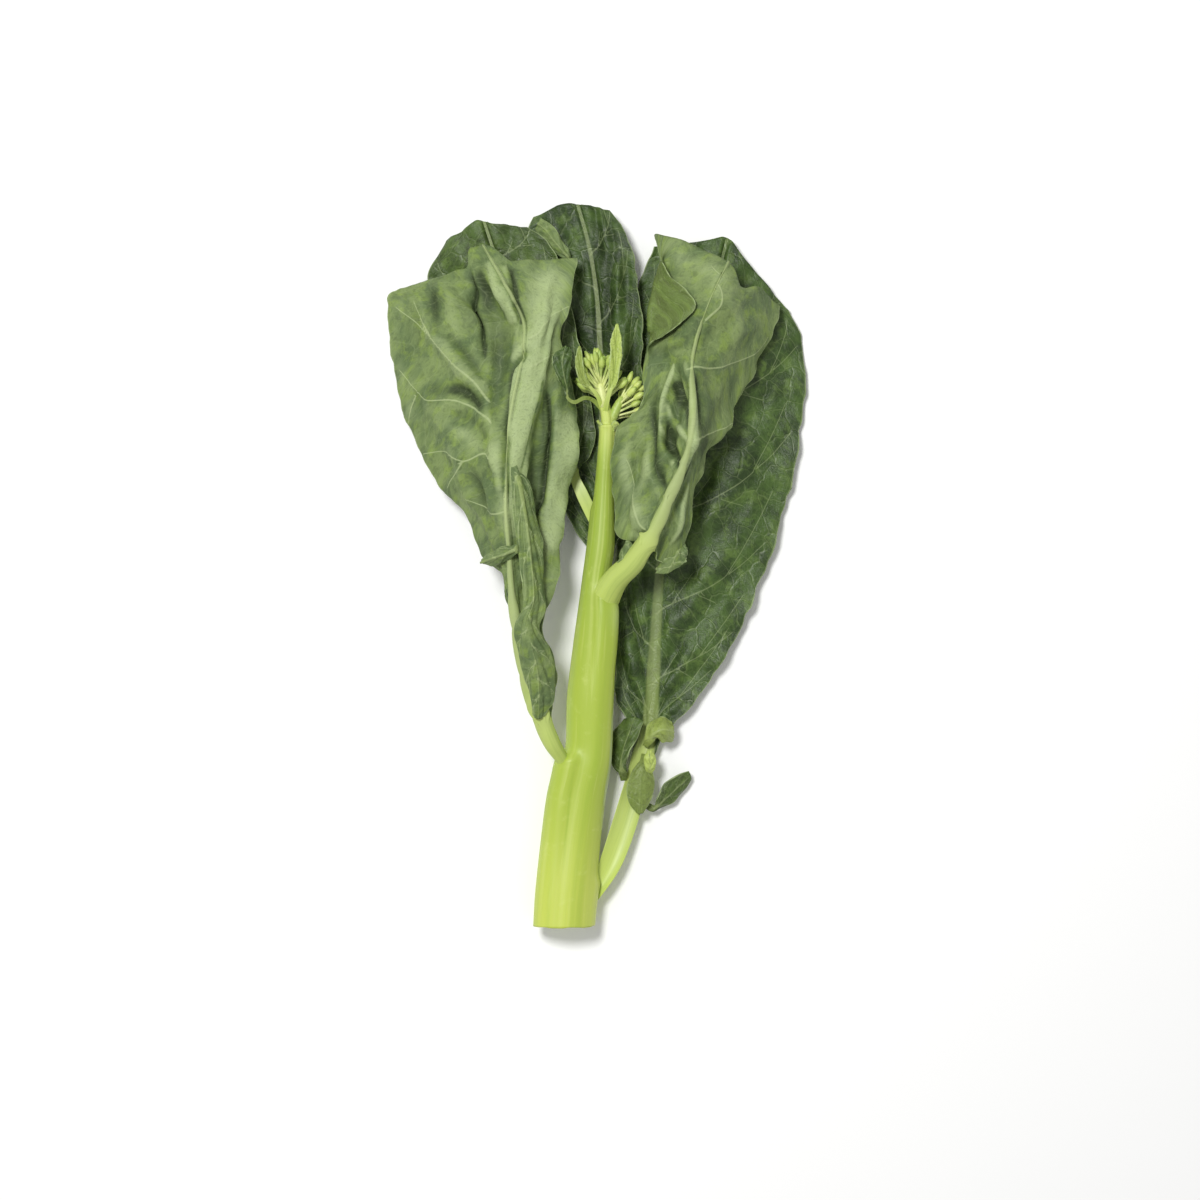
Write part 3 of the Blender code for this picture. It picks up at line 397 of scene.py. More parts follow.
# Small blades that grow from the leaf stalks and the ledge. Their lines run from where they grow.
LOBES = {
    "leaf_left_lobe": SMALL_LEAF | {
        "side_veins": (7, 0.12),
        "upper_side_up": False,
        "cells": (150, 32),
        "stalk": ((-17, 160, 30.2), (-16.6, 156, 32.6)),
        "stalk_half_width": (0.8, 1.4),
        "guides": {
            -1: (
                (-12, 153, 30), (-9, 140, 28.6), (-7.2, 127, 28.4), (-6.2, 113, 28.8), (-8.4, 104.6, 30.6),
                (-5.6, 97, 29.4), (-2.8, 88.6, 27.6), (-3.4, 79.6, 26.8), (-7, 73.2, 27),
            ),
            0: (
                (-15.2, 152.6, 33.4), (-13, 140, 33.8), (-11.4, 127, 34), (-10.4, 113, 34),
                (-12.6, 105, 35.2), (-10.9, 97, 34.9), (-9, 88, 33.6), (-8.6, 79.6, 31.2),
                (-8.8, 72.2, 28.4),
            ),
            1: (
                (-17.8, 152, 33.6), (-16.8, 140, 34), (-15.4, 127, 34), (-13.6, 113, 34),
                (-16.4, 104.6, 32.6), (-16.2, 97, 31.4), (-14.2, 88.4, 30.6), (-11.6, 80.4, 29.6),
                (-10.4, 73.4, 28),
            ),
        },
        "vein_half_width": (0.12, 0.3),
        "stalk_paint": 0,
        "quilting": (0.3, 6),
        "ruffle": (0.8, 5),
        "veining": 0.7,
    },
    "leaf_left_curl": SMALL_LEAF | {
        "side_veins": (2, 0.2),
        "upper_side_up": False,
        "stalk": ((-14.6, 130, 31), (-16, 130, 34.4)),
        "stalk_half_width": (1, 1.6),
        "guides": {
            -1: ((-17.4, 127.4, 32.6), (-21, 125.2, 30.8), (-24.6, 124.4, 29.4), (-27.6, 125, 27.6)),
            0: ((-17.2, 129.4, 35), (-21.2, 127.8, 34.4), (-24.8, 126.6, 32.4), (-28.4, 125.4, 29.2)),
            1: ((-17.6, 131.4, 33), (-21.4, 130.6, 31.6), (-25.2, 129, 29.6), (-28.2, 126.6, 28)),
        },
        "ruffle": (0.5, 2),
        "veining": 0.7,
    },
    "leaf_lower_dark_lobe": SMALL_LEAF | {
        "side_veins": (3, 0.25),
        "stalk": ((20.4, 50, 6), (20.2, 52.8, 8.4)),
        "stalk_half_width": (1, 1.5),
        "guides": {
            -1: ((17, 54.5, 7), (15.8, 60.5, 5.8), (16.6, 66, 6.2), (20.6, 71.4, 7.6)),
            0: ((19.6, 55.4, 9.2), (20.4, 60.6, 9.6), (22.2, 66, 10), (24.4, 72, 10)),
            1: ((21.3, 56, 9.8), (22.8, 60.4, 10.8), (25.2, 65.6, 11.2), (27.3, 70.6, 10.6)),
        },
        "ruffle": (0.9, 2),
        "tone": 0.15,
    },
    "leaf_lower_curled_lobe": SMALL_LEAF | {
        "side_veins": (3, 0.2),
        "stalk": ((28, 62, 6.8), (29, 63.8, 9.8)),
        "stalk_half_width": (0.9, 1.5),
        "guides": {
            -1: ((28.4, 68.4, 9.6), (31, 71.3, 9), (34.4, 71.8, 8.4), (37.2, 70.2, 7.4)),
            0: ((30.4, 66, 12.2), (32.8, 67.6, 13.2), (35.4, 67.8, 12.4), (37.9, 66.8, 9)),
            1: ((32, 64.6, 10.4), (34, 63.4, 9.6), (36.2, 63.1, 8), (37.6, 63.6, 6.2)),
        },
        "ruffle": (0.6, 2),
        "tone": 0.6,
    },
    "leaf_lower_oval_lobe": SMALL_LEAF | {
        "side_veins": (3, 0.25),
        "stalk": ((27.4, 59, 6.2), (27.2, 56.6, 9)),
        "stalk_half_width": (0.8, 1.3),
        "guides": {
            -1: ((30.2, 54, 9.4), (31.2, 48.4, 9), (29.6, 42.8, 8.8), (27.4, 39, 8.6)),
            0: ((26.8, 54.2, 10.4), (26.3, 48.6, 10.6), (26, 43.4, 10.2), (26.1, 38.6, 9.2)),
            1: ((23.2, 53.2, 9.6), (21.6, 47.6, 9.4), (22.6, 42, 9.2), (24.8, 39, 8.8)),
        },
        "ruffle": (0.3, 2),
        "tone": 0.4,
        "rib_paint": 0.15,
        "veining": 0.1,
    },
    "leaf_lower_young_lobe": SMALL_LEAF | {
        "stalk": ((29.4, 51.6, 7), (29.5, 53.2, 10.4)),
        "stalk_half_width": (0.7, 1.1),
        "guides": {
            -1: ((27.8, 55, 11.4), (27.4, 57.8, 12), (28.6, 60, 11.8)),
            0: ((29.6, 54.8, 12), (29.5, 58, 12.8), (29.4, 60.6, 12.2)),
            1: ((31.4, 55, 11.2), (31.5, 58, 11.8), (30.3, 60.2, 11.6)),
        },
        "ruffle": (0.2, 2),
        "tone": 1,
    },
    "leaf_lower_side_lobe": SMALL_LEAF | {
        "side_veins": (3, 0.25),
        "stalk": ((26.6, 43, 5.6), (30.4, 40.2, 5.8)),
        "stalk_half_width": (0.9, 1.3),
        "guides": {
            -1: ((32, 43.6, 6.4), (34.6, 48.4, 6.8), (39.2, 51.8, 6), (43.2, 53, 4.6)),
            0: ((33, 41.8, 5.8), (36.6, 45, 5.4), (40.6, 48.6, 4.8), (43.8, 51.6, 4)),
            1: ((33.4, 40, 4.6), (37.4, 42.2, 3.6), (41.4, 45.8, 3.2), (44, 49.8, 3.2)),
        },
        "ruffle": (0.8, 2),
        "tone": 0.15,
    },
    "ledge_left_scale": SMALL_LEAF | {
        "cells": (24, 8),
        "stalk": ((13.8, 170.8, 19.2), (13.2, 171.4, 20.8)),
        "stalk_half_width": (0.5, 0.6),
        "guides": {
            -1: ((12.3, 171.8, 21), (11.2, 173.8, 21.6)),
            0: ((12.8, 172.4, 21.8), (11.3, 174.3, 22)),
            1: ((13.3, 172.9, 21.8), (11.6, 174.5, 22)),
        },
        "ruffle": (0.1, 2),
        "tone": 1,
    },
    "ledge_right_scale": SMALL_LEAF | {
        "cells": (24, 8),
        "stalk": ((15.4, 170.6, 20.2), (16.6, 171.4, 21.4)),
        "stalk_half_width": (0.8, 1),
        "guides": {
            -1: ((16.2, 173.2, 22.2), (17, 174.2, 23), (18.2, 173.8, 23)),
            0: ((17, 172.4, 22.6), (17.9, 173.2, 23.4), (18.8, 172.8, 23.2)),
            1: ((17.6, 171.2, 21.8), (18.4, 171.8, 22.4), (19, 171.8, 22.4)),
        },
        "ruffle": (0.1, 2),
        "tone": 1,
    },
    "leaf_back_curl": SMALL_LEAF | {
        "side_veins": (3, 0.2),
        "upper_side_up": False,
        "cells": (60, 18),
        "stalk": ((3, 228.6, 5.6), (1.6, 230.6, 8.4)),
        "stalk_half_width": (0.8, 0.9),
        "guides": {
            -1: ((-0.6, 231, 9.6), (-4.6, 234, 9.2), (-8.2, 238.4, 8), (-10.4, 241.6, 6.4)),
            0: ((0.8, 232, 10.4), (-2.6, 235.8, 10.6), (-6.2, 240.6, 9.8), (-9.4, 243.6, 7.8)),
            1: ((1.8, 233.2, 9.8), (-0.8, 237.6, 9.8), (-4.4, 242.6, 9.4), (-8.4, 245.4, 7.6)),
        },
        "ruffle": (0.5, 3),
    },
    "leaf_right_ragged_lobe": SMALL_LEAF | {
        "side_veins": (3, 0.2),
        "upper_side_up": False,
        "cells": (60, 20),
        "stalk": ((39.4, 136, 21.6), (39.4, 132, 23.4)),
        "stalk_half_width": (0.8, 2),
        "guides": {
            -1: ((42.2, 129.4, 24.6), (41.6, 126.4, 25.4), (39.4, 124, 25.6)),
            0: ((38.6, 128.6, 25.6), (36.8, 125, 26.6), (35.2, 121.8, 26.4)),
            1: ((35, 129.4, 24.8), (32.6, 126, 25.4), (31.4, 121.8, 25.6)),
        },
        "veining": 0.7,
        "quilting": (0.3, 2),
        "ruffle": (1.6, 2),
        "teeth": 0.4,
    },
    "leaf_right_base_lobe": SMALL_LEAF | {
        "side_veins": (2, 0.2),
        "upper_side_up": False,
        "stalk": ((26.4, 127.4, 27.6), (24.2, 127.2, 29.6)),
        "stalk_half_width": (1.2, 2.2),
        "guides": {
            -1: ((22.4, 122.6, 26.4), (20.4, 122.4, 25.6), (18.6, 123.6, 24.8)),
            0: ((22, 127.2, 29.6), (20, 126.6, 29), (18.4, 125.6, 27.6)),
            1: ((22.6, 132.6, 28.4), (20.2, 131.8, 27.4), (18.8, 128.4, 26)),
        },
        "veining": 0.5,
        "ruffle": (0.8, 2),
    },
}

# Side veins that the photograph shows, as seen, from the midrib outwards.
VEINS_SEEN = {
    "leaf_left": (
        ((490, 400), (475, 386), (453, 361), (430, 338), (413, 322), (395, 308)),
        ((430, 338), (421, 322), (412, 302)),
        ((489, 422), (478, 411), (464, 405), (451, 398), (426, 398), (416, 391), (398, 372)),
        ((416, 393), (411, 407), (406, 424)),
        ((491, 458), (481, 455), (463, 461), (445, 452), (423, 454)),
        ((463, 461), (458, 473), (447, 487)),
        ((503, 512), (489, 515), (464, 501)),
        ((532, 364), (548, 358), (564, 352)),
        ((529, 336), (548, 322), (571, 306)),
    ),
    "leaf_right": (
        ((688, 369), (712, 369), (733, 363), (755, 354), (768, 338)),
        ((694, 440), (707, 437), (724, 430), (734, 422)),
        ((705, 318), (722, 303), (716, 284), (711, 266)),
        ((644, 530), (633, 490), (628, 460)),
    ),
}

# Folds that the photograph shows, as seen: their places, half width and height in millimetres. A fold
# with a steep side is cut off within STEEP of its line on its left (1) or its right (-1).
FOLDS_SEEN = {
    "leaf_left": (
        (((484, 258), (492, 285), (503, 312)), 2.6, 1.8, 0),
        (((507, 262), (510, 285), (512, 305), (515, 322)), 4.5, 3.2, 1),
        (((469, 270), (479, 300), (487, 330), (490, 358)), 2.4, -3.2, 1),
        (((526, 350), (514, 361), (505, 371), (502, 392)), 1.5, -3.2, 0),
        (((503, 380), (501, 420), (503, 460), (506, 500)), 1.8, -2.8, 0),
        (((489, 350), (488, 400), (491, 450), (498, 500)), 2.2, 1.5, 0),
        (((445, 386), (466, 393), (486, 409)), 2.4, -2.8, 0),
        (((440, 412), (465, 420), (487, 436)), 3.2, -2, 0),
        (((486, 396), (453, 358), (430, 334)), 2.2, 1.5, 0),
        (((494, 384), (463, 348), (440, 322)), 2, -1.5, 0),
        (((468, 288), (466, 340)), 4.6, -1.8, 0),
        (((447, 286), (450, 345)), 3, 0.8, 0),
        (((431, 286), (434, 330)), 3, -1.1, 0),
        (((419, 294), (425, 340)), 2.6, 0.8, 0),
        (((470, 470), (482, 520)), 3, -1.6, 0),
        (((446, 440), (470, 500)), 3, 1.2, 0),
        (((550, 390), (544, 440), (535, 500), (527, 540)), 1.8, -3.2, -1),
    ),
    "leaf_right": (
        (((669, 368), (663, 392), (661, 420), (663, 446), (674, 470)), 1.1, 2, 0),
        (((665, 404), (674, 424), (688, 444)), 1.2, 1.1, 0),
        (((674, 380), (680, 402), (688, 420)), 2, -2.4, 0),
        (((668, 426), (670, 446), (678, 464)), 1.8, -2.2, 0),
        (((683, 358), (689, 380), (692, 406), (693, 434), (695, 455)), 1.2, 2.2, 0),
        (((699, 372), (702, 400), (704, 440)), 2.4, -1.8, 0),
        (((650, 395), (651, 434), (655, 470), (664, 500)), 2.2, -2.4, 0),
        (((632, 430), (628, 470), (634, 520)), 3, 1, 0),
        (((692, 484), (684, 512), (673, 545)), 1.6, 1.8, 0),
        (((694, 464), (684, 486), (676, 504)), 0.9, -1.6, 0),
        (((722, 300), (712, 345), (716, 400)), 4, -1, 0),
        (((745, 300), (738, 345)), 4, 1, 0),
    ),
}
STEEP = 0.8
FOLD_RUNS_ON, FOLD_BLUNTNESS = 1 / 48, 0.35  # share by which a fold passes its line, and how blunt it ends

# Painted light and shade where the photograph shows a leaf paler or darker than the rest of it, as seen: a
# line, its half width in millimetres, and how much paler it is painted (1 most) or darker (-1 most).
LIGHT_AND_SHADE_SEEN = {
    "leaf_left": (
        (((550, 280), (542, 330), (529, 380), (517, 450), (508, 520)), 7, 0.95),
        (((430, 300), (415, 320), (405, 345)), 5, -0.35),
        (((480, 455), (492, 480), (500, 520)), 5, -0.35),
        (((490, 262), (496, 290), (506, 318)), 3, 0.55),
        (((511, 268), (514, 298), (518, 322)), 1.3, -1.2),
        (((478, 278), (486, 320), (490, 360)), 2.6, -0.7),
        (((468, 283), (472, 310), (480, 345)), 6, -0.55),
        (((431, 284), (434, 325)), 2.4, -0.45),
        (((419, 294), (425, 335)), 1.2, 0.2),
        (((505, 366), (499, 400), (500, 440), (505, 490)), 1.7, -0.9),
        (((432, 392), (458, 393), (480, 404)), 3.4, -0.8),
        (((430, 415), (455, 425), (480, 450)), 5, 0.3),
        (((549, 398), (544, 450), (538, 500)), 1.7, -1.6),
        (((546, 384), (534, 430), (521, 490)), 0.45, -0.7),
        (((570, 420), (566, 480), (556, 540)), 4, 0.9),
        (((470, 470), (484, 520), (500, 560)), 5, -0.45),
        (((400, 300), (395, 350), (412, 420)), 4, 0.3),
    ),
    "leaf_right": (
        (((672, 250), (700, 270), (735, 300)), 6, 0.35),
        (((640, 470), (634, 500), (636, 530)), 5, 0.5),
        (((655, 390), (653, 430), (660, 480)), 2, -0.75),
        (((674, 384), (679, 404), (686, 424)), 1.7, -1.2),
        (((667, 424), (669, 446), (677, 466)), 1.5, -1.2),
        (((671, 366), (663, 392), (661, 427), (670, 463)), 0.6, 0.9),
        (((666, 406), (675, 424), (687, 441)), 0.7, 0.5),
        (((690, 380), (694, 410), (695, 445)), 0.7, 0.5),
        (((640, 500), (648, 480), (655, 455)), 2, -0.35),
        (((695, 464), (685, 488), (676, 508)), 0.7, -1.3),
        (((691, 486), (683, 514), (672, 546)), 0.7, 0.5),
        (((664, 545), (672, 525), (680, 500)), 1.2, -0.5),
        (((700, 380), (704, 420), (708, 450)), 3.6, -0.75),
        (((716, 400), (712, 430), (706, 458)), 4, -0.4),
        (((694, 400), (695, 440), (692, 466)), 1.6, 0.6),
        (((745, 310), (738, 350), (730, 380)), 6, -0.1),
        (((650, 352), (675, 345), (700, 318)), 2.2, -0.6),
    ),
    "leaf_lower": (
        (((640, 480), (632, 560), (630, 660)), 7, -0.15),
        (((655, 480), (655, 560), (652, 660)), 3, 0.25),
    ),
    "leaf_back": ((((600, 240), (602, 300), (600, 340)), 9, -0.8),),
    "leaf_back_left": ((((500, 225), (520, 240), (540, 262)), 7, -0.4),),
}

# Bud heads: the branch that the stalklets leave, how many buds there are, their widest angle from the
# branch in degrees, the reach of the fan, how green the branch is, and the biggest bud's length and radius.
HEADS = {
    "bud_head": {
        "branch": ((13.65, 179.0, 20.55), (12.2, 187.4, 21.2)),
        "count": 64,
        "widest": 62.0,
        "reach": 9.8,
        "branch_tint": 0.0,
        "bud": (4.9, 1.25),
    },
    "bud_spray": {
        "branch": ((15.2, 172.4, 19.2), (19.8, 182.6, 20.2)),
        "count": 40,
        "widest": 54.0,
        "reach": 9.4,
        "branch_tint": 1.0,
        "bud": (4.9, 1.3),
    },
}
# Rings of a branch and a stalklet: share of the length, and radius in millimetres or as a share.
BRANCH_SHAPE = (
    (0.0, 0.0), (0.0, 1.6), (0.35, 1.8), (0.6, 1.7), (0.8, 1.4), (0.95, 0.9), (1.0, 0.4), (1.02, 0.0),
)
BRANCH_SIDES = 20
STALKLET_SHAPE = ((0.0, 0.0), (0.0, 1.0), (0.5, 0.85), (0.93, 0.9), (1.0, 1.2))
STALKLET_RADIUS = 0.45
BUD_RINGS = (0.08, 0.18, 0.32, 0.48, 0.64, 0.78, 0.9, 0.97)  # shares of a bud's length
BUD_BELLY, BUD_FULLNESS = 0.8, 0.48  # how low a bud is widest, and how blunt its ends are
SEPAL_GROOVE, GROOVE_SHARPNESS = 0.12, 6  # depth of the grooves between sepals, as a share of the radius
STALKLET_RISE = 0.3  # a stalklet's share of the rise along it and its bud, by which both are coloured
BRANCH_RISE, GREEN_BRANCH_RISE = 0.05, 0.35  # a pale branch's rise, and how much more a green one has
CHECKED_FROM, CHECKED_POINTS = 0.3, 12  # where along a stalklet its clearance is measured
SMALLEST_BUD = 0.75  # the youngest buds' size, as a share of the biggest
BUD_CLEARANCE = 0.15  # least distance from a bud to the middle of a blade, and between the two heads
OPEN_FRONT = 0.5  # the heads are open towards the viewer, where no stalklet leans further up than this
ROOTED_SHARE = 0.8  # how much of the branch carries stalklets, from its top
LEAN_SPREAD = (0.85, 1.05)
TURN_SPREAD = (-16, 16)
REACH_SPREAD = (0.84, 1.06)
GOLDEN_ANGLE, GOLDEN_SHARE = 137.5, 0.618
NEIGHBOUR_CELLS = (80, 12)  # grid on which a leaf beside the heads is measured

# The stem's skin, by distance up the stem and angle round it.
STEM_SIDE = 8.0  # mean radius, by which angles become distances round the skin
CREASE_RUN = (20.0, 36.0, 48.0, 57.0)  # the soft line of painted shade beside the lower left swelling
CREASE_ANGLE = (103.0, 106.0, 110.0, 116.0)
CREASE_ENDS, CREASE_WIDTH = (10.0, 66.0), 2.2
BLOOM_ENDS, BLOOM_ANGLE = (20.0, 100.0), 8.0  # the waxy stretch on the right
BLOOM_EDGE, BLOOM_GAPS = (0.9, 1.0), (-0.9, 0.3)  # how it ends round the stem, and where it is rubbed off
JOINT_RUN, JOINT_ANGLE = 107.0, 25.0  # where a painted highlight makes the skin pale under the right leaf's joint
JOINT_LENGTH, JOINT_WIDTH, JOINT_HIGHLIGHT = 7.0, 30.0, 0.35
CUT_DISH = ((0.0, 1.0), (0.25, 0.98), (0.5, 0.85), (0.7, 0.55), (0.86, 0.2), (0.96, 0.02))
CUT_DEPTH = 0.7  # the dish's shares of the cut's radius and of this depth
FLUTES, FLUTE_TWIST = ((5, 1.3, 1.0, 0.0), (11, 0.4, -1.7, 1.0)), 0.006  # count, height, twist and start
FLUTED_RADIUS = 6.0  # thinner than this, the stem has shallower flutes

# How a leaf's form follows its guides.
RIB_COLUMNS = 7  # columns of the grid from the middle of the rib to its edge
RIB_WAIST = (0.3, 0.62)  # how far along the leaf the rib has this share of its depth
RIB_ROUNDNESS = 1.2  # the rib's greatest depth, in half widths
SIDE_VEIN_SLOPE = 0.35  # how far a side vein climbs on its way out, as a share of the blade's length
RIM_SHARPNESS = 5  # a ruffle keeps to the margin
RUFFLE_SHIFT = 1.7  # how far the two margins' ruffles are out of step
TIP_SHARPNESS = 8  # a drawn-out tip keeps to the top edge
OFF_RIB = (1.0, 2.5)  # half widths of the rib over which the blade becomes uneven beside it
QUILTED_FROM = 0.25  # share of the blade from which it is quilted in full

# Side veins that grow by rule. Shares are of the blade's length or of the way to the margin.
FIRST_VEIN, VEIN_STAGGER, LAST_GAP = 0.3, 0.25, 0.4  # in pairs
VEIN_CROWDING = 1.15  # above 1, pairs stand closer at the blade's base
VEIN_BEND, VEIN_REACH, VEIN_STEPS = 0.45, 0.93, 9
CLIMB_SPREAD, CLIMB_LOSS, VEIN_WANDER = (0.8, 1.2), 0.4, 0.003
TWIGS = ((2, 1), (4, -1), (6, 1))  # the vein's step at which a twig leaves it, and which way it turns
TWIG_TURN = (0.9, -0.15)  # how much faster than its vein a twig climbs and runs out, or slower
TWIG_STRENGTH, TWIG_SPREAD, TWIG_CURL = 0.45, (0.7, 1.1), 0.12
VEIN_END = 0.3  # a vein's strength where it ends
VEIN_POINTS = 500
FAR_AWAY = 1000.0  # distance to the nearest side vein where a leaf has none
VEIN_LIMITS = (-8, 8)  # distances from a side vein that its skin needs, in half widths

# Soft random hills in layers: size in millimetres, height and seed.
CREASES = ((14.0, 1.0, 3), (6.0, 0.5, 5), (2.6, 0.22, 7))
BROAD_WAVES, FINE_WAVES = ((9.0, 0.7, 11),), ((4.0, 0.45, 13),)
SMALL_NOTCHES = ((3.4, 0.55, 17),)
WIDE_NOTCHES = ((8.0, 0.5, 19),)
TOOTH_DRIFT = ((5.0, 0.3, 31),)
RAGGED_CUT = ((16.0, 0.25, 23),)
BLOOM_PATCHES = ((5.0, 1.0, 29),)
SIDES_APART, MARGINS_APART = 60.0, 40.0  # how far either way a leaf's sides, and its margins, read the hills
TOOTH_SPACING = 2.6
FULL_HALF_WIDTH = 18.0  # a blade whose half width is less is less uneven
PUFF_REACH = 4.0  # distance from a side vein at which the blade has puffed up
WAVE_SHARPNESS, NOTCH_SHARPNESS = 10, 30  # waves and notches keep to the margin
THIN_FROM, THINNED = 0.95, 0.45  # where the blade starts to thin towards its margin, and by how much
BLADE_START = 0.05  # share of the blade in which veins and hills grow to their full height

# Painted shade in hollows and folds, and painted light on crests, in millimetres and shares.
FOLD_REACH, DENT_REACH = 3.2, 1.2  # how far a fold's and a dent's surroundings reach
FOLD_DEPTH, DENT_DEPTH = 2.4, 0.5  # depths that count as 1
FOLD_LIMITS, DENT_LIMITS, DENT_WEIGHT = (-0.3, 0.7), (-0.2, 0.2), 0.3
FINEST_SPACING = 0.12
DARKEST_SHADE = 1.3

# Where the paint of the rib, the leaf stalk and the margin lies, as shares of the blade and half widths.
STALK_PAINT_END, RIB_PAINT_START = 0.008, 0.12
RIB_PAINT_LOSS, STALK_PAINT_WIDER, RIB_PAINT_EDGE = 0.4, 0.3, (0.75, 1.25)
MARGIN_PAINT = (0.985, 1.0)
STALK_RISE, BLADE_RISE = 0.4, 1.6  # how fast the rib's colour changes up the stalk and the blade

# Finishes. Sizes are in metres, and each noise has a size and a detail.
LEAF_NOISE = {"patches": (0.015, 3.0), "wear": (0.0055, 6.0), "dapple": (0.0034, 6.0), "grain": (0.0011, 6.0)}
RIB_FIBRES = (0.0014, 4.0)
STEM_NOISE = {"bands": (0.006, 2.0), "fibres": (0.0011, 3.0)}
STEM_MOTTLE = (0.006, 5.0)
PITH_FIBRES = (0.0009, 4.0)
BUD_NOISE = {"patches": (0.006, 2.0), "grain": (0.0011, 3.0)}
NOISE_ROUGHNESS = 0.6
BEND_SIZE, BEND = 0.006, 0.004  # soft bends of the leaf's patterns, and how far they go
NET_CELLS = (0.0095, 0.0032)  # the mesh of veinlets, and the finer one inside it
LEAF_STRETCH, STEM_STRETCH = 0.04, 0.03  # fibres are drawn out along the rib and the stem
RELIEF_STRENGTH = 0.6
WHITE = (1.0, 1.0, 1.0, 1.0)

# The table and the light, in metres.
TABLE_SIZE = 6.0
KEY_PLACE, KEY_SIZE = (-0.24, 0.38, 0.97), 0.24


def linear(hex_colour):
    """The linear RGBA of an sRGB hex colour."""
    channels = [int(hex_colour[k : k + 2], 16) / 255 for k in (1, 3, 5)]
    return (*((c / 12.92 if c <= 0.04045 else ((c + 0.055) / 1.055) ** 2.4) for c in channels), 1.0)


def colour(name, hex_colour, description):
    return FloatVectorProperty(
        name=name, description=description, default=linear(hex_colour), size=4, subtype="COLOR", min=0, max=1
    )


def length(name, metres, description):
    return FloatProperty(
        name=name, description=description, default=metres, min=0, subtype="DISTANCE", unit="LENGTH"
    )


class StemSettings(PropertyGroup):
    low_skin: colour("Low skin", "#c2cf5a", "Pale lime skin near the cut")
    middle_skin: colour("Middle skin", "#a8bc48", "Lime skin of the middle of the stem")
    high_skin: colour("High skin", "#98af40", "Greener skin towards the head")
    top_skin: colour("Top skin", "#c6d472", "Pale skin under the buds")
    streak: colour("Streak", "#98b23c", "Green bands that run along the stem")
    pale_band: colour("Pale band", "#d2dc82", "Pale bands that run along the stem")
    # Wax bloom on the right side, and also the painted highlight under the right leaf's joint.
    bloom_and_highlight: colour("Bloom", "#d3e0bd", "Wax that dusts the skin")
    pith: colour("Pith", "#dde6b8", "Wet pale flesh of the cut")
    flute_depth: length("Flute depth", 0.00007, "Depth of the grooves along the stem")
    rings: IntProperty(name="Rings", description="Rings of faces along the stem", default=420, min=40)
    sides: IntProperty(name="Sides", description="Faces round the stem", default=112, min=12)


class LeafSettings(PropertyGroup):
    upper_dark: colour("Upper side, dark", "#304220", "Deep green of the glossy upper side")
    upper_light: colour("Upper side, light", "#48602c", "Lighter green of the glossy upper side")
    upper_worn: colour("Upper side, worn", "#617939", "Yellower patches of the upper side")
    # Painted light for the crests and pale places of the upper side.
    upper_painted_light: colour("Upper side, crest", "#63783f", "Light green on the crests of the upper side")
    under_dark: colour("Underside, dark", "#5d7046", "Grey-green of the waxy underside")
    under_light: colour("Underside, light", "#7c8e57", "Paler bloom on the waxy underside")
    under_worn: colour("Underside, worn", "#809645", "Yellower patches where the wax is rubbed off")
    # Painted light for the crests and pale places of the underside.
    under_painted_light: colour("Underside, crest", "#adbd88", "Pale wax on the crests of the underside")
    young: colour("Young leaf", "#b7c968", "Yellow-green of the youngest leaves")
    vein: colour("Side vein", "#adbb88", "Pale side veins")
    rib: colour("Midrib", "#abb97f", "Pale midrib")
    leaf_stalk: colour("Leaf stalk", "#bdce6c", "Lime leaf stalk near the stem")
    stalk_base: colour("Stalk base", "#c3d568", "Skin of the leaf stalk where it leaves the stem")
    rib_streak: colour("Rib streak", "#94ad55", "Green bands along the midrib and the leaf stalk")
    margin: colour("Margin", "#b5c78f", "Thin pale edge of the blade")
    blade: length("Blade thickness", 0.00056, "Thickness of the blade between its veins")
    puff: length("Puffing", 0.0009, "How far the blade swells between its side veins")
    vein_height: length("Vein height", 0.00045, "How far a side vein stands out of the underside")
    crumple: length("Crumple", 0.0007, "Height of the blade's soft creases")


class HeadSettings(PropertyGroup):
    bud: colour("Bud", "#d3e07a", "Yellow-green sepals")
    bud_tip: colour("Bud tip", "#8daa48", "Greener tips of the buds")
    stalklet: colour("Stalklet", "#dfe69a", "Pale stalklets and branch")
    sides: IntProperty(name="Sides", description="Faces round one bud", default=12, min=6)


class StageSettings(PropertyGroup):
    table: colour("Table", "#fdfdfc", "Plain pale table")
    key_power: FloatProperty(
        name="Key light", description="Power of the big soft light", default=8.0, unit="POWER"
    )
    fill: FloatProperty(name="Fill", description="Strength of the light from all round", default=0.48)


def through(points, at):
    """Smooth curve through points, read at index positions from 0 to the last point's."""
    points = np.asarray(points, float)
    padded = np.vstack([2 * points[0] - points[1], points, 2 * points[-1] - points[-2]])
    at = np.clip(np.asarray(at, float), 0, len(points) - 1)
    first = np.minimum(at.astype(int), len(points) - 2)
    u = (at - first)[:, None]
    a, b, c, d = (padded[first + k] for k in range(4))
    return 0.5 * (2 * b + (c - a) * u + (2 * a - 5 * b + 4 * c - d) * u**2 + (3 * b - a - 3 * c + d) * u**3)


def unit(vectors):
    return vectors / np.maximum(np.linalg.norm(vectors, axis=-1, keepdims=True), 1e-9)


def hill(x, squareness=2):
    """1 at 0, falling smoothly to nothing a few units away, and flatter on top where it is squarer."""
    return np.exp(-(np.abs(x) ** squareness))


def bump(x, start=0, end=1):
    """1 halfway from start to end, falling smoothly to 0 at both and beyond."""
    return np.sin(np.pi * np.clip((x - start) / (end - start), 0, 1)) ** 2


def ramp(x, low, high):
    """0 below low, 1 above high, and smooth between them."""
    x = np.clip((x - low) / (high - low), 0, 1)
    return x * x * (3 - 2 * x)


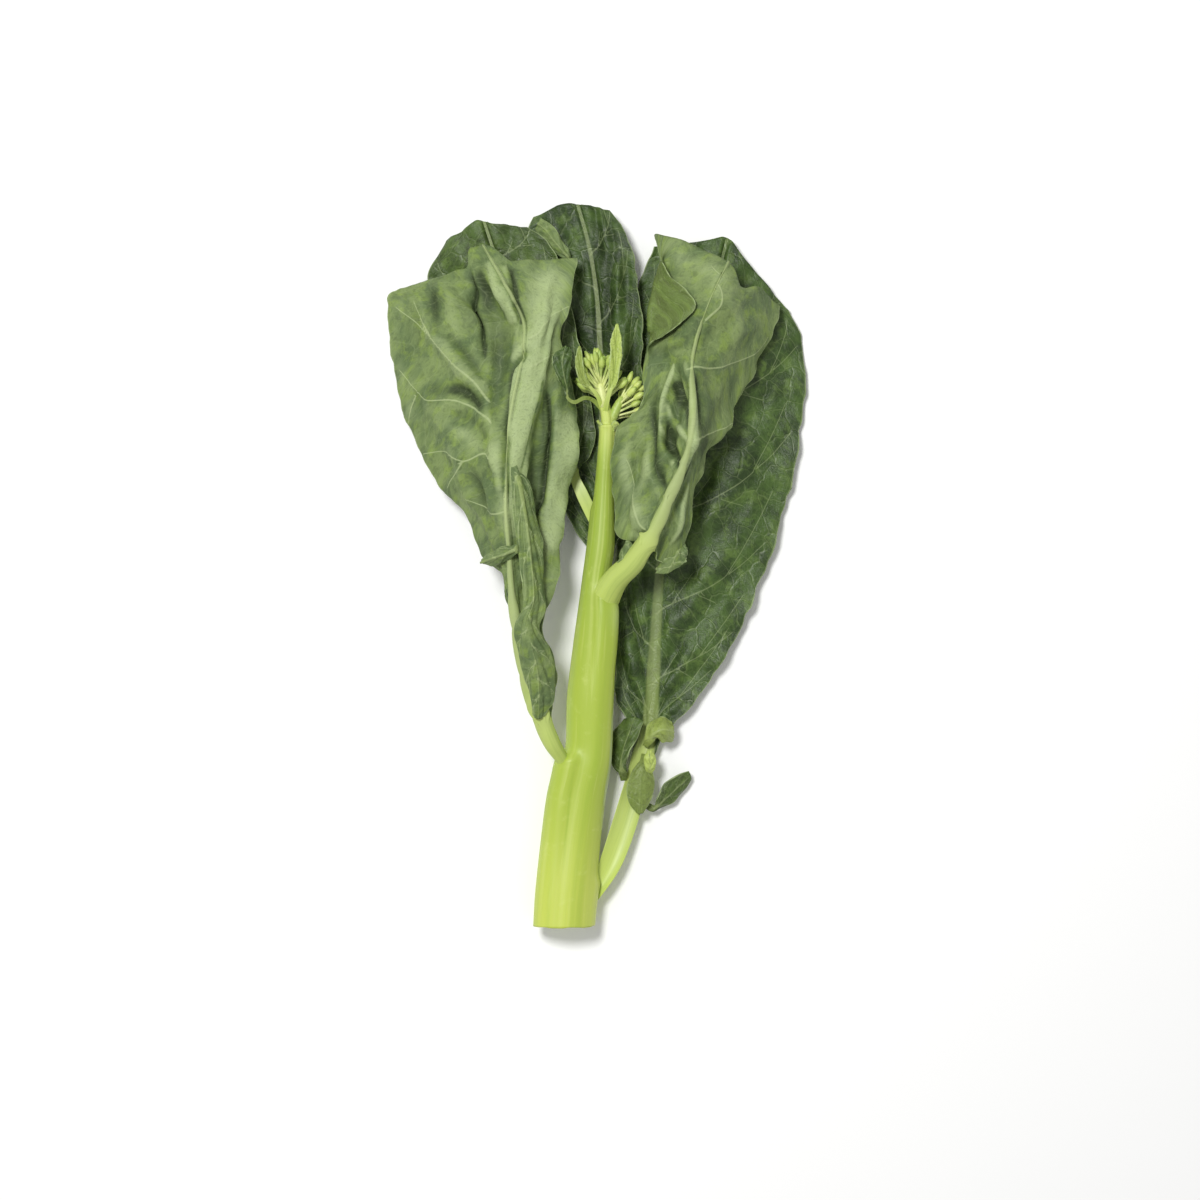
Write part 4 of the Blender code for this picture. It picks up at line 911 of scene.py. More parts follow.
def random_hills(x, y, layers):
    """Smooth random hills over a plane, in layers that each have a size, a height and a seed."""
    total = 0.0
    for size, height, seed in layers:
        lattice = np.random.default_rng(seed).uniform(-1, 1, (LATTICE, LATTICE))
        column, row = np.floor(x / size).astype(int), np.floor(y / size).astype(int)
        u, v = ramp(x / size - column, 0, 1), ramp(y / size - row, 0, 1)
        corners = [lattice[(row + j) % LATTICE, (column + k) % LATTICE] for j in (0, 1) for k in (0, 1)]
        low = corners[0] * (1 - u) + corners[1] * u
        high = corners[2] * (1 - u) + corners[3] * u
        total = total + height * (low * (1 - v) + high * v)
    return total


def stalk_half_widths(leaf, rows):
    """The leaf stalk's half width at rows, which also holds for the rows beyond it."""
    widths = leaf["stalk_half_width"]
    return np.interp(rows, np.linspace(0, len(leaf["stalk"]) - 1, len(widths)), widths)


def rails_of(leaf):
    """The guides with the leaf stalk's rows put in front of them, as {position across: points}."""
    stalk = np.array(leaf["stalk"], float)
    sideways = unit(np.cross(np.gradient(stalk, axis=0), UP))
    half_width = stalk_half_widths(leaf, np.arange(len(stalk)))[:, None]
    return {
        across: np.vstack([stalk + across * half_width * sideways, guide])
        for across, guide in sorted(leaf["guides"].items())
    }


def lofted(rails, rows, across):
    """Points of the sheet drawn through the rails; across holds each row's positions from -1 to 1."""
    stations = np.array(list(rails), float)
    lines = np.stack([through(rail, rows) for rail in rails.values()])
    slopes = np.gradient(lines, stations, axis=0)
    first = np.clip(np.searchsorted(stations, across, side="right") - 1, 0, len(stations) - 2)
    span = (stations[first + 1] - stations[first])[..., None]
    u = (across[..., None] - stations[first][..., None]) / span
    row = np.arange(len(rows))[:, None]
    p0, p1, m0, m1 = (table[first + k, row] for table in (lines, slopes) for k in (0, 1))
    return (
        (2 * u**3 - 3 * u**2 + 1) * p0
        + (u**3 - 2 * u**2 + u) * span * m0
        + (3 * u**2 - 2 * u**3) * p1
        + (u**3 - u**2) * span * m1
    )


def grid_normals(points):
    """Normals of a grid of points, on the side that faces up where the sheet lies flat."""
    return unit(np.cross(np.gradient(points, axis=1), np.gradient(points, axis=0)))


@dataclass
class LeafForm:
    """A leaf's middle surface as a grid, row by row from its stalk and column by column from its left."""

    sheet: np.ndarray
    place: np.ndarray  # millimetres across from the rib and along from the blade's base
    across: np.ndarray  # -1 at the left margin, 0 at the rib and 1 at the right margin
    rise: np.ndarray  # each row's share of the leaf stalk: 0 at the stem, and 1 from the blade's base
    into_blade: np.ndarray  # each row's share of the blade
    from_rib: np.ndarray  # distance from the middle of the rib, in half widths of the rib
    depth: np.ndarray  # how deep the rib is under the blade
    pleats: np.ndarray  # how far the pleats raise it
    side: int  # 1 where the upper side faces up, -1 where it faces down


def grid_across(ends, rib_half, column_count, rib_columns):
    """Positions across of the grid's columns, of which the middle ones lie on the rib."""
    step = np.arange(-column_count, column_count + 1)
    margin = np.where(step[:, None] < 0, ends[:, None, 0], ends[:, None, 2])
    width = np.linalg.norm(margin - ends[:, None, 1], axis=-1)
    edge = np.minimum(rib_half[:, None] / width, rib_columns / column_count)
    inside = edge * np.abs(step) / rib_columns
    outside = edge + (1 - edge) * (np.abs(step) - rib_columns) / (column_count - rib_columns)
    return np.sign(step) * np.where(np.abs(step) < rib_columns, inside, outside)


def drawn_tip(leaf, sheet, across):
    """The sheet with its top edge drawn out at the tip."""
    middle, wide, reach, squareness = leaf["tip"]
    along = np.linspace(0, 1, len(sheet))[:, None]
    grow = reach * hill((across - middle) / wide, squareness) * along**TIP_SHARPNESS
    return sheet + grow[..., None] * unit(np.gradient(sheet, axis=0))


def pleat_lift(leaf, rows, across):
    """How far the leaf's pleats raise it."""
    lift = np.zeros_like(across)
    for start, end, wide, height, first, final in leaf["pleats"]:
        share = (rows - first) / (final - first)
        middle = (start + (end - start) * np.clip(share, 0, 1))[:, None]
        lift += height * bump(share)[:, None] * hill((across - middle) / wide)
    return lift


def wave_lift(leaf, side, into_blade, across):
    """How far the quilting between the side veins and the ruffles of the margin raise the leaf."""
    height, count = leaf["quilting"]
    swell = 0.5 - np.cos(2 * np.pi * count * (into_blade - SIDE_VEIN_SLOPE * np.abs(across)))
    lift = side * height * swell * bump(np.abs(across)) * np.minimum(1, into_blade / QUILTED_FROM)
    height, count = leaf["ruffle"]
    turn = 2 * np.pi * count * into_blade + RUFFLE_SHIFT * np.sign(across)
    return lift + height * np.sin(turn) * np.abs(across) ** RIM_SHARPNESS * bump(into_blade)


def skin_places(sheet, middle, first_row):
    """Millimetres over the sheet: across from its middle column, and along from its first row."""
    steps = np.linalg.norm(np.diff(sheet, axis=1), axis=-1)
    reach = np.concatenate([np.zeros((len(sheet), 1)), np.cumsum(steps, axis=1)], axis=1)
    steps = np.linalg.norm(np.diff(sheet, axis=0), axis=-1)
    run = np.concatenate([np.zeros((1, sheet.shape[1])), np.cumsum(steps, axis=0)], axis=0)
    return np.stack([reach - reach[:, middle : middle + 1], run - run[first_row]], axis=-1)


def leaf_form(leaf, rib_columns=RIB_COLUMNS):
    """The leaf's form with its pleats, quilting and ruffles, as its solid has them."""
    row_count, column_count = leaf["cells"]
    rails = rails_of(leaf)
    stalk_rows = len(leaf["stalk"])
    last = len(rails[0]) - 1
    rows = np.linspace(0, last, row_count + 1)
    into_blade = np.clip((rows - stalk_rows + 1) / (last - stalk_rows + 1), 0, 1)

    # The rib is as wide as the leaf stalk, and narrows along the blade.
    taper, at_top = leaf["rib_narrows"]
    rib_half = stalk_half_widths(leaf, rows) * (1 - into_blade) ** taper + at_top * into_blade
    ends = lofted(rails, rows, np.tile((-1.0, 0.0, 1.0), (len(rows), 1)))
    across = grid_across(ends, rib_half, column_count, rib_columns)
    sheet = drawn_tip(leaf, lofted(rails, rows, across), across)
    side = 1 if leaf["upper_side_up"] else -1
    pleats = pleat_lift(leaf, rows - stalk_rows, across)
    lift = pleats + wave_lift(leaf, side, into_blade[:, None], across)
    sheet = sheet + lift[..., None] * grid_normals(sheet)

    place = skin_places(sheet, column_count, np.searchsorted(rows, stalk_rows - 1))
    deep, shallow = leaf["rib_depth"]
    waist, waist_share = RIB_WAIST
    depth = np.interp(rows / last, (0, waist, 1), (deep, waist_share * deep, shallow))
    return LeafForm(
        sheet=sheet,
        place=place,
        across=across,
        rise=np.clip(rows / (stalk_rows - 1), 0, 1),
        into_blade=into_blade,
        from_rib=np.abs(place[..., 0]) / rib_half[:, None],
        depth=np.minimum(depth, RIB_ROUNDNESS * rib_half),
        pleats=pleats,
        side=side,
    )


def seen_spots(form, pixels):
    """Rows and columns of the leaf's grid at pixels of the photograph, on its highest layer there."""
    places = (np.array(pixels, float) - CUT_END_PIXEL) * (MM_PER_PIXEL, -MM_PER_PIXEL)
    spread = CAMERA_HEIGHT / (CAMERA_HEIGHT - form.sheet[..., 2:])
    shown = CAMERA_SPOT + (form.sheet[..., :2] - CAMERA_SPOT) * spread
    spots = []
    for place in places:
        off = np.linalg.norm(shown - place, axis=-1)
        height = np.where(off < off.min() + SAME_LAYER, form.sheet[..., 2], -np.inf)
        spots.append(np.unravel_index(height.argmax(), height.shape))
    return spots


def read_grid(grid, spots):
    """Values of a grid at fractional rows and columns."""
    row, column = np.clip(spots, 0, np.array(grid.shape[:2]) - 1.001).T
    top, left = row.astype(int), column.astype(int)
    u, v = (row - top)[:, None], (column - left)[:, None]
    first = grid[top, left] * (1 - v) + grid[top, left + 1] * v
    second = grid[top + 1, left] * (1 - v) + grid[top + 1, left + 1] * v
    return first * (1 - u) + second * u


def smooth_path(spots, count=80):
    """A line through grid places, as many fractional rows and columns."""
    return through(spots, np.linspace(0, len(spots) - 1, count))


def twig_path(vein, step, turn, rng):
    """A short fork that leaves a side vein at one of its steps and curls away from it."""
    way = (vein[step + 1] - vein[step]) * (1 + turn * np.array(TWIG_TURN))
    run = np.linspace(0, 2, 5)[:, None] * rng.uniform(*TWIG_SPREAD)
    return vein[step] + way * run + TWIG_CURL * turn * way * run**2 * (1, 0)


def ruled_paths(form, pairs, climb):
    """Side veins in staggered pairs that bend up near the margin, with short twigs, over the leaf's grid."""
    rows, columns = form.across.shape
    base = np.searchsorted(form.into_blade, 1e-6)
    centre = columns // 2
    blade = rows - base
    rng = np.random.default_rng(pairs)
    share = np.linspace(0, 1, VEIN_STEPS)
    bend = (1 - VEIN_BEND) * share + VEIN_BEND * share**3
    paths = []
    for number in range(pairs):
        for side in (-1, 1):
            start = ((number + FIRST_VEIN + VEIN_STAGGER * side) / (pairs + LAST_GAP)) ** VEIN_CROWDING
            rise = climb * rng.uniform(*CLIMB_SPREAD) * (1 - CLIMB_LOSS * number / pairs)
            wander = VEIN_WANDER * np.cumsum(rng.uniform(-1, 1, VEIN_STEPS)) * share
            up = base + blade * (start + rise * bend + wander)
            vein = np.stack([up, centre + side * VEIN_REACH * centre * share], axis=-1)
            paths.append((vein, 1.0))
            paths += [(twig_path(vein, step, turn, rng), TWIG_STRENGTH) for step, turn in TWIGS]
    return paths


def vein_paths(name, leaf, form):
    """The leaf's side veins over its grid, with their strengths: those seen, and those that grow by rule."""
    seen = [(np.array(seen_spots(form, pixels), float), 1.0) for pixels in VEINS_SEEN.get(name, ())]
    return seen + ruled_paths(form, *leaf["side_veins"])


def vein_distances(form, paths):
    """Distance from each point of the leaf to its nearest side vein, on which side, and how strong it is."""
    shape = form.across.shape
    if not paths:
        return np.full(shape, FAR_AWAY), np.ones(shape), np.ones(shape)
    lines, places, ways, strengths = [], [], [], []
    for spots, strength in paths:
        path = smooth_path(spots, VEIN_POINTS)
        lines.append(read_grid(form.sheet, path))
        places.append(read_grid(form.place, path))
        ways.append(np.gradient(places[-1], axis=0))
        strengths.append(strength * np.linspace(1, VEIN_END, len(path)))
    lines, places, ways, strengths = (np.concatenate(part) for part in (lines, places, ways, strengths))
    tree = KDTree(len(lines))
    for number, point in enumerate(lines):
        tree.insert(point, number)
    tree.balance()
    found = [tree.find(point)[1:] for point in form.sheet.reshape(-1, 3)]
    number, distance = (np.array(part).reshape(shape) for part in zip(*found))
    offset, way = form.place - places[number], ways[number]
    side = np.sign(way[..., 0] * offset[..., 1] - way[..., 1] * offset[..., 0])
    return distance, side, strengths[number]


def nearness(form, pixels):
    """Each point's distance from a line seen in the photograph, its share of the line, and its left side."""
    path = smooth_path(seen_spots(form, pixels))
    line, place = read_grid(form.sheet, path), read_grid(form.place, path)
    away = np.linalg.norm(form.sheet[..., None, :] - line, axis=-1)
    nearest, away = away.argmin(axis=-1), away.min(axis=-1)
    onward = unit(np.gradient(place, axis=0))[nearest]
    offset = form.place - place[nearest]
    left = onward[..., 0] * offset[..., 1] - onward[..., 1] * offset[..., 0]
    return away, nearest / (len(path) - 1), left


def fold_lift(form, folds):
    """Height of the folds that the photograph shows, over the whole leaf."""
    lift = np.zeros(form.across.shape)
    for pixels, wide, height, steep in folds:
        away, share, left = nearness(form, pixels)
        one_side = ramp(-steep * left, -STEEP, STEEP) if steep else 1.0
        ends = bump(share, -FOLD_RUNS_ON, 1 + FOLD_RUNS_ON) ** FOLD_BLUNTNESS
        lift += height * hill(away / wide) * one_side * ends
    return lift


def painted_light_and_shade(form, light_and_shade):
    """How much painted light (up to 1) or painted shade (down to -1) each place of the leaf gets, where the
    photograph shows it paler or darker.
    """
    paler = np.zeros(form.across.shape)
    for pixels, wide, amount in light_and_shade:
        paler += amount * hill(nearness(form, pixels)[0] / wide)
    return np.clip(paler, -1, 1)


def hollow(grid, reach, spacing):
    """How far each place lies below the mean of the places within reach of it."""
    mean = grid
    for _ in range(round(2 * (reach / spacing) ** 2)):
        padded = np.pad(mean, 1, mode="edge")
        mean = (padded[:-2, 1:-1] + padded[2:, 1:-1] + padded[1:-1, :-2] + padded[1:-1, 2:]) / 4
    return mean - grid


def shading(leaf, form, folds, lift, light_and_shade):
    """How much painted shade each place gets: more in a fold or a dent, and painted light instead on a crest
    or where the leaf is painted paler.
    """
    spacing = max(FINEST_SPACING, np.abs(form.place[..., 0]).max() / leaf["cells"][1])
    broad = hollow(form.pleats + folds, FOLD_REACH, spacing) / FOLD_DEPTH
    fine = hollow(form.pleats + lift, DENT_REACH, spacing) / DENT_DEPTH
    shade = np.clip(broad, *FOLD_LIMITS) + np.clip(DENT_WEIGHT * fine, *DENT_LIMITS)
    return np.clip(shade * blade_share(form) - painted_light_and_shade(form, light_and_shade), -1, DARKEST_SHADE)


def start_clean():
    """Nothing selected and no edit mode, because an operator acts on all that is selected."""
    if bpy.context.object and bpy.context.object.mode != "OBJECT":
        bpy.ops.object.mode_set(mode="OBJECT")
    bpy.ops.object.select_all(action="DESELECT")


def added_grid(name, columns, rows):
    """A new grid object with its UV map, and its mesh."""
    start_clean()
    bpy.ops.mesh.primitive_grid_add(x_subdivisions=columns, y_subdivisions=rows, size=1, calc_uvs=True)
    made = bpy.context.object
    made.name = made.data.name = name
    made.data.uv_layers[0].name = "skin"
    return made, made.data


def put_points(mesh, points):
    """Guide points in millimetres become the mesh's own, with the part's origin at the rest spot."""
    metres = (points.reshape(-1, 3) - REST_SPOT) * MM
    mesh.vertices.foreach_set("co", metres.astype(np.float32).ravel())
    mesh.update()


def put_uv(mesh, places):
    """Places over the skin in millimetres, one for each vertex, become the UV map in metres."""
    corner = np.empty(len(mesh.loops), np.int32)
    mesh.loops.foreach_get("vertex_index", corner)
    values = places.reshape(-1, 2)[corner] * MM
    mesh.uv_layers["skin"].data.foreach_set("uv", values.astype(np.float32).ravel())


def put_values(mesh, values):
    """Named numbers for the mesh's vertices, which its materials read."""
    for name, numbers in values.items():
        attribute = mesh.attributes.new(name, "FLOAT", "POINT")
        attribute.data.foreach_set("value", np.asarray(numbers, np.float32).ravel())


def rolled_tube(name, rings, places, values):
    """A closed tube from rings whose first and last points meet, and whose end rings are single points."""
    rows, columns = rings.shape[0] - 1, rings.shape[1] - 1
    made, mesh = added_grid(name, columns, rows)
    put_points(mesh, rings)
    put_uv(mesh, places)
    put_values(mesh, values)
    bpy.ops.object.mode_set(mode="EDIT")
    bpy.ops.mesh.select_all(action="SELECT")
    bpy.ops.mesh.remove_doubles(threshold=SAME_POINT)
    bpy.ops.mesh.normals_make_consistent(inside=False)
    bpy.ops.object.mode_set(mode="OBJECT")
    bpy.ops.object.shade_smooth()
    return made


def finish_piece(made, slot, *nodes):
    """The piece rides on the stalk and stands for its solids, which are hidden; slot is not used."""
    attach(made, "root")
    if nodes:
        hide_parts(*nodes)
    return made


def add_node(tree, kind, settings=None, inputs=None):
    """A node with its own settings, and with its inputs set to values or linked to other nodes' outputs."""
    made = tree.nodes.new(kind)
    for name, value in (settings or {}).items():
        setattr(made, name, value)
    for name, value in (inputs or {}).items():
        if isinstance(value, bpy.types.NodeSocket):
            tree.links.new(value, made.inputs[name])
        else:
            made.inputs[name].default_value = value
    return made


def new_skin(name):
    """An empty material and its node tree."""
    material = bpy.data.materials.new(name)
    material.use_nodes = True
    material.node_tree.nodes.clear()
    return material, material.node_tree


def noise_inputs(place, size, detail):
    """Inputs of soft noise of this size in metres over the places."""
    return {"Vector": place, "Scale": 1 / size, "Detail": detail, "Roughness": NOISE_ROUGHNESS}


def coated(tree, skin, coats):
    """The skin under coats of colour: each grows from nothing at one value to its full weight at another."""
    for value, nothing, full, weight, tint in coats:
        limits = {"Value": value, "From Min": nothing, "From Max": full, "To Max": weight}
        share = add_node(tree, "ShaderNodeMapRange", {"interpolation_type": "SMOOTHSTEP"}, limits).outputs[0]
        skin = add_node(tree, "ShaderNodeMix", {"data_type": "RGBA"}, {0: share, 6: skin, 7: tint}).outputs[2]
    return skin


def finish_skin(tree, skin, height, depth, gloss):
    """The material's colour and gloss, with a fine relief of this depth in metres."""
    relief = {"Height": height, "Strength": RELIEF_STRENGTH, "Distance": depth}
    surface = add_node(tree, "ShaderNodeBump", None, relief).outputs[0]
    inputs = gloss | {"Base Color": skin, "Normal": surface}
    shader = add_node(tree, "ShaderNodeBsdfPrincipled", None, inputs)
    add_node(tree, "ShaderNodeOutputMaterial", None, {"Surface": shader.outputs[0]})


def grey(level):
    return (level, level, level, 1.0)


def scaled(tint, share):
    """A share of a colour's light."""
    return (*(share * channel for channel in tint[:3]), 1.0)


def leaf_skin(name, greens, look, gloss, net_weight, net_relief):
    """Living leaf: two greens in soft patches, worn yellower here and there, with pale veins and veinlets,
    painted light on its crests and painted shade in its folds and dents.
    """
    dark, light, worn, painted_light_tint = greens
    material, tree = new_skin(name)
    place = add_node(tree, "ShaderNodeUVMap", {"uv_map": "skin"}).outputs[0]
    bend = add_node(tree, "ShaderNodeTexNoise", None, {"Vector": place, "Scale": 1 / BEND_SIZE})
    turned = {0: bend.outputs["Color"], 1: (BEND, BEND, 0.0), 2: place}
    bent = add_node(tree, "ShaderNodeVectorMath", {"operation": "MULTIPLY_ADD"}, turned).outputs[0]
    noise = {
        key: add_node(tree, "ShaderNodeTexNoise", None, noise_inputs(bent, *grain)).outputs[0]
        for key, grain in LEAF_NOISE.items()
    }
    drawn_out = {"Vector": place, "Scale": (1.0, LEAF_STRETCH, 1.0)}
    along = add_node(tree, "ShaderNodeMapping", None, drawn_out).outputs[0]
    fibres = add_node(tree, "ShaderNodeTexNoise", None, noise_inputs(along, *RIB_FIBRES)).outputs[0]
    carried = {
        key: add_node(tree, "ShaderNodeAttribute", {"attribute_name": key}).outputs["Fac"]
        for key in ("vein", "vein_away", "veining", "rib", "margin", "rise", "shade", "tone")
    }
    cells = {"voronoi_dimensions": "2D", "feature": "DISTANCE_TO_EDGE"}
    nets = [
        add_node(tree, "ShaderNodeTexVoronoi", cells, {"Vector": bent, "Scale": 1 / size}).outputs["Distance"]
        for size in NET_CELLS
    ]
    skin_coats = (
        (noise["patches"], 0.38, 0.6, 1.0, light),
        (noise["wear"], 0.48, 0.66, 0.7, worn),
        (noise["dapple"], 0.5, 0.68, 0.5, scaled(dark, 0.6)),
        (carried["tone"], 0.0, 1.0, 0.9, look.young),
        # Painted light on crests and pale places, painted shade in folds and dents, and near-black painted
        # shade in the deepest.
        (carried["shade"], 0.0, -1.0, 0.76, painted_light_tint),
        (carried["shade"], 0.0, 1.0, 0.8, scaled(dark, 0.6)),
        (carried["shade"], 0.6, DARKEST_SHADE, 0.9, scaled(dark, 0.3)),
        (noise["grain"], 0.5, 0.68, 0.34, scaled(dark, 0.6)),
        (noise["grain"], 0.46, 0.3, 0.4, light),
        (nets[1], 0.07, 0.0, 0.5 * net_weight, look.vein),
        (nets[0], 0.035, 0.0, net_weight, look.vein),
    )
    skin = coated(tree, dark, skin_coats)

    # A side vein is drawn where its signed distance in half widths is small, and never far from it.
    line = add_node(tree, "ShaderNodeMath", {"operation": "ABSOLUTE"}, {0: carried["vein"]}).outputs[0]
    limits = {0: line, 1: carried["vein_away"]}
    away = add_node(tree, "ShaderNodeMath", {"operation": "MAXIMUM"}, limits).outputs[0]
    veined = coated(tree, skin, ((away, 1.25, 0.35, 0.65, look.vein),))
    mixed = {0: carried["veining"], 6: skin, 7: veined}
    skin = add_node(tree, "ShaderNodeMix", {"data_type": "RGBA"}, mixed).outputs[2]
    rib_coats = (
        (carried["rise"], 0.04, 0.26, 1.0, look.leaf_stalk),
        (carried["rise"], 0.1, 1.0, 1.0, look.rib),
        (fibres, 0.47, 0.68, 0.35, look.rib_streak),
        (fibres, 0.42, 0.28, 0.4, look.margin),
    )
    rib = coated(tree, look.stalk_base, rib_coats)
    edge_coats = (
        (carried["rib"], 0.0, 1.0, 0.95, rib),
        (carried["margin"], 0.0, 1.0, 0.6, look.margin),
    )
    skin = coated(tree, skin, edge_coats)

    # The veinlets stand out of the underside and sink into the upper side.
    relief_coats = (
        (noise["grain"], 0.3, 0.7, 1.0, WHITE),
        (nets[0], 0.06, 0.0, 0.8, grey(0.5 + net_relief)),
        (carried["rib"], 0.3, 1.0, 1.0, grey(0.7)),
    )
    relief = coated(tree, grey(0.5), relief_coats)
    finish_skin(tree, skin, relief, 0.00035, gloss)
    return material


def leaf_skins(look):
    """The glossy upper side and the waxy underside of a leaf, made once for all the leaves."""
    if "glossy_upper_leaf" not in bpy.data.materials:
        greens = (look.upper_dark, look.upper_light, look.upper_worn, look.upper_painted_light)
        gloss = {"Roughness": 0.36, "Specular IOR Level": 0.3}
        leaf_skin("glossy_upper_leaf", greens, look, gloss, 0.11, -0.5)
        greens = (look.under_dark, look.under_light, look.under_worn, look.under_painted_light)
        gloss = {"Roughness": 0.55, "Specular IOR Level": 0.2}
        leaf_skin("waxy_leaf_underside", greens, look, gloss, 0.1, 0.5)
    return bpy.data.materials["glossy_upper_leaf"], bpy.data.materials["waxy_leaf_underside"]


def blade_share(form):
    """0 on the leaf stalk, growing to 1 soon after the blade's base."""
    return ramp(form.into_blade, 0, BLADE_START)[:, None]


def uneven_sheet(leaf, form, veins, folds, look):
    """The leaf's sheet with its folds, puffs, creases and uneven margin, and how far it is lifted."""
    x, y = form.place[..., 0], form.place[..., 1]
    rim, blade = np.abs(form.across), blade_share(form)

    # Small leaves are less uneven.
    unevenness = min(1.0, np.abs(x).max() / FULL_HALF_WIDTH)
    puff = form.side * look.puff / MM * (1 - hill(veins[0] / PUFF_REACH))
    creases = look.crumple / MM * random_hills(x, y, CREASES)
    lift = folds + unevenness * (puff + creases) * ramp(form.from_rib, *OFF_RIB) * blade
    margin_waves = random_hills(x + SIDES_APART * form.side, y, BROAD_WAVES) + random_hills(x, y, FINE_WAVES)
    lift += unevenness * margin_waves * rim**WAVE_SHARPNESS * blade

    notch = random_hills(0 * x, y + MARGINS_APART * np.sign(x), SMALL_NOTCHES)
    notch = unevenness * (notch + random_hills(0 * x, y, WIDE_NOTCHES))
    tooth = (y / TOOTH_SPACING + random_hills(0 * x, y, TOOTH_DRIFT)) % 1
    notch = (notch + leaf["teeth"] * (2 * tooth - 1)) * rim**NOTCH_SHARPNESS * blade
    outward = unit(np.gradient(form.sheet, axis=1)) * np.sign(form.across)[..., None]
    sheet = form.sheet + lift[..., None] * grid_normals(form.sheet) + notch[..., None] * outward
    sheet[..., 2] = np.maximum(sheet[..., 2], look.blade / MM)
    return sheet, lift


def leaf_sides(leaf, form, veins, width, sheet, look):
    """The leaf's front and back, with its rib, its channel and its raised side veins, above the table."""
    distance, _, strength = veins
    upper = form.side * grid_normals(sheet)
    blade = look.blade / MM * (1 - THINNED * ramp(np.abs(form.across), THIN_FROM, 1.0))
    round_rib = np.clip(1 - form.from_rib**2, 0, 1)
    rib = form.depth[:, None] * np.sqrt(round_rib)
    channel = leaf["channel"] * round_rib * (1 - form.into_blade[:, None])
    vein = strength * hill(distance / width) * blade_share(form)
    raised = look.vein_height / MM * vein * ramp(form.from_rib, *OFF_RIB)
    top = sheet + upper * (blade / 2 - raised / 2 - channel)[..., None]
    under = sheet - upper * (rib + blade / 2 + raised)[..., None]
    for surface in (top, under):
        surface[..., 2] = np.maximum(surface[..., 2], 0.0)
    return (top, under)[:: form.side]


def rib_paint(leaf, form):
    """How strongly the rib and the leaf stalk are painted over the leaf."""
    stalk = 1 - ramp(form.into_blade, 0, STALK_PAINT_END)[:, None]
    in_blade = ramp(form.into_blade, 0, RIB_PAINT_START)[:, None]
    on_blade = leaf["rib_paint"] * (1 - RIB_PAINT_LOSS * form.into_blade[:, None])
    paint = leaf["stalk_paint"] + (on_blade - leaf["stalk_paint"]) * in_blade
    return paint * (1 - ramp(form.from_rib - STALK_PAINT_WIDER * stalk, *RIB_PAINT_EDGE))


def leaf_piece(name, leaf, look, *nodes):
    """One fine leaf: the solid's form with its folds, veins, creases and wavy margin, closed all round."""
    form = leaf_form(leaf)
    veins = vein_distances(form, vein_paths(name, leaf, form))
    distance, vein_side, strength = veins
    thinnest, widest = leaf["vein_half_width"]
    width = np.maximum(widest * strength, thinnest)
    folds = fold_lift(form, FOLDS_SEEN.get(name, ()))
    sheet, lift = uneven_sheet(leaf, form, veins, folds, look)
    front, back = leaf_sides(leaf, form, veins, width, sheet, look)

    # The front takes its wall from the modifier, and the wall's other side is then put where the back is.
    row_count, column_count = leaf["cells"]
    made, mesh = added_grid(name + "_skin", 2 * column_count, row_count)
    put_points(mesh, front)
    put_uv(mesh, form.place)
    for skin in leaf_skins(look)[:: form.side]:
        mesh.materials.append(skin)
    shell = made.modifiers.new("second_side", "SOLIDIFY")
    shell.thickness = look.blade
    shell.offset = -1
    shell.material_offset = 1
    bpy.ops.object.modifier_apply(modifier=shell.name)
    put_points(made.data, np.stack([front, back]))

    shape = form.across.shape
    rise = np.minimum(STALK_RISE * form.rise + BLADE_RISE * form.into_blade, 1)[:, None]
    values = {
        "vein": np.clip(vein_side * distance / width, *VEIN_LIMITS),
        "vein_away": distance,
        "rib": rib_paint(leaf, form),
        "margin": ramp(np.abs(form.across), *MARGIN_PAINT) * blade_share(form),
        "rise": np.broadcast_to(rise, shape),
        "shade": shading(leaf, form, folds, lift, LIGHT_AND_SHADE_SEEN.get(name, ())),
        "veining": np.full(shape, leaf["veining"]),
    }
    both_sides = {key: np.stack([numbers, numbers]) for key, numbers in values.items()}
    tones = (leaf["tone"], leaf["under_tone"])[:: form.side]
    both_sides["tone"] = np.stack([np.full(shape, tone) for tone in tones])
    put_values(made.data, both_sides)
    bpy.ops.object.shade_smooth()
    return finish_piece(made, "leaf_skin", *nodes)


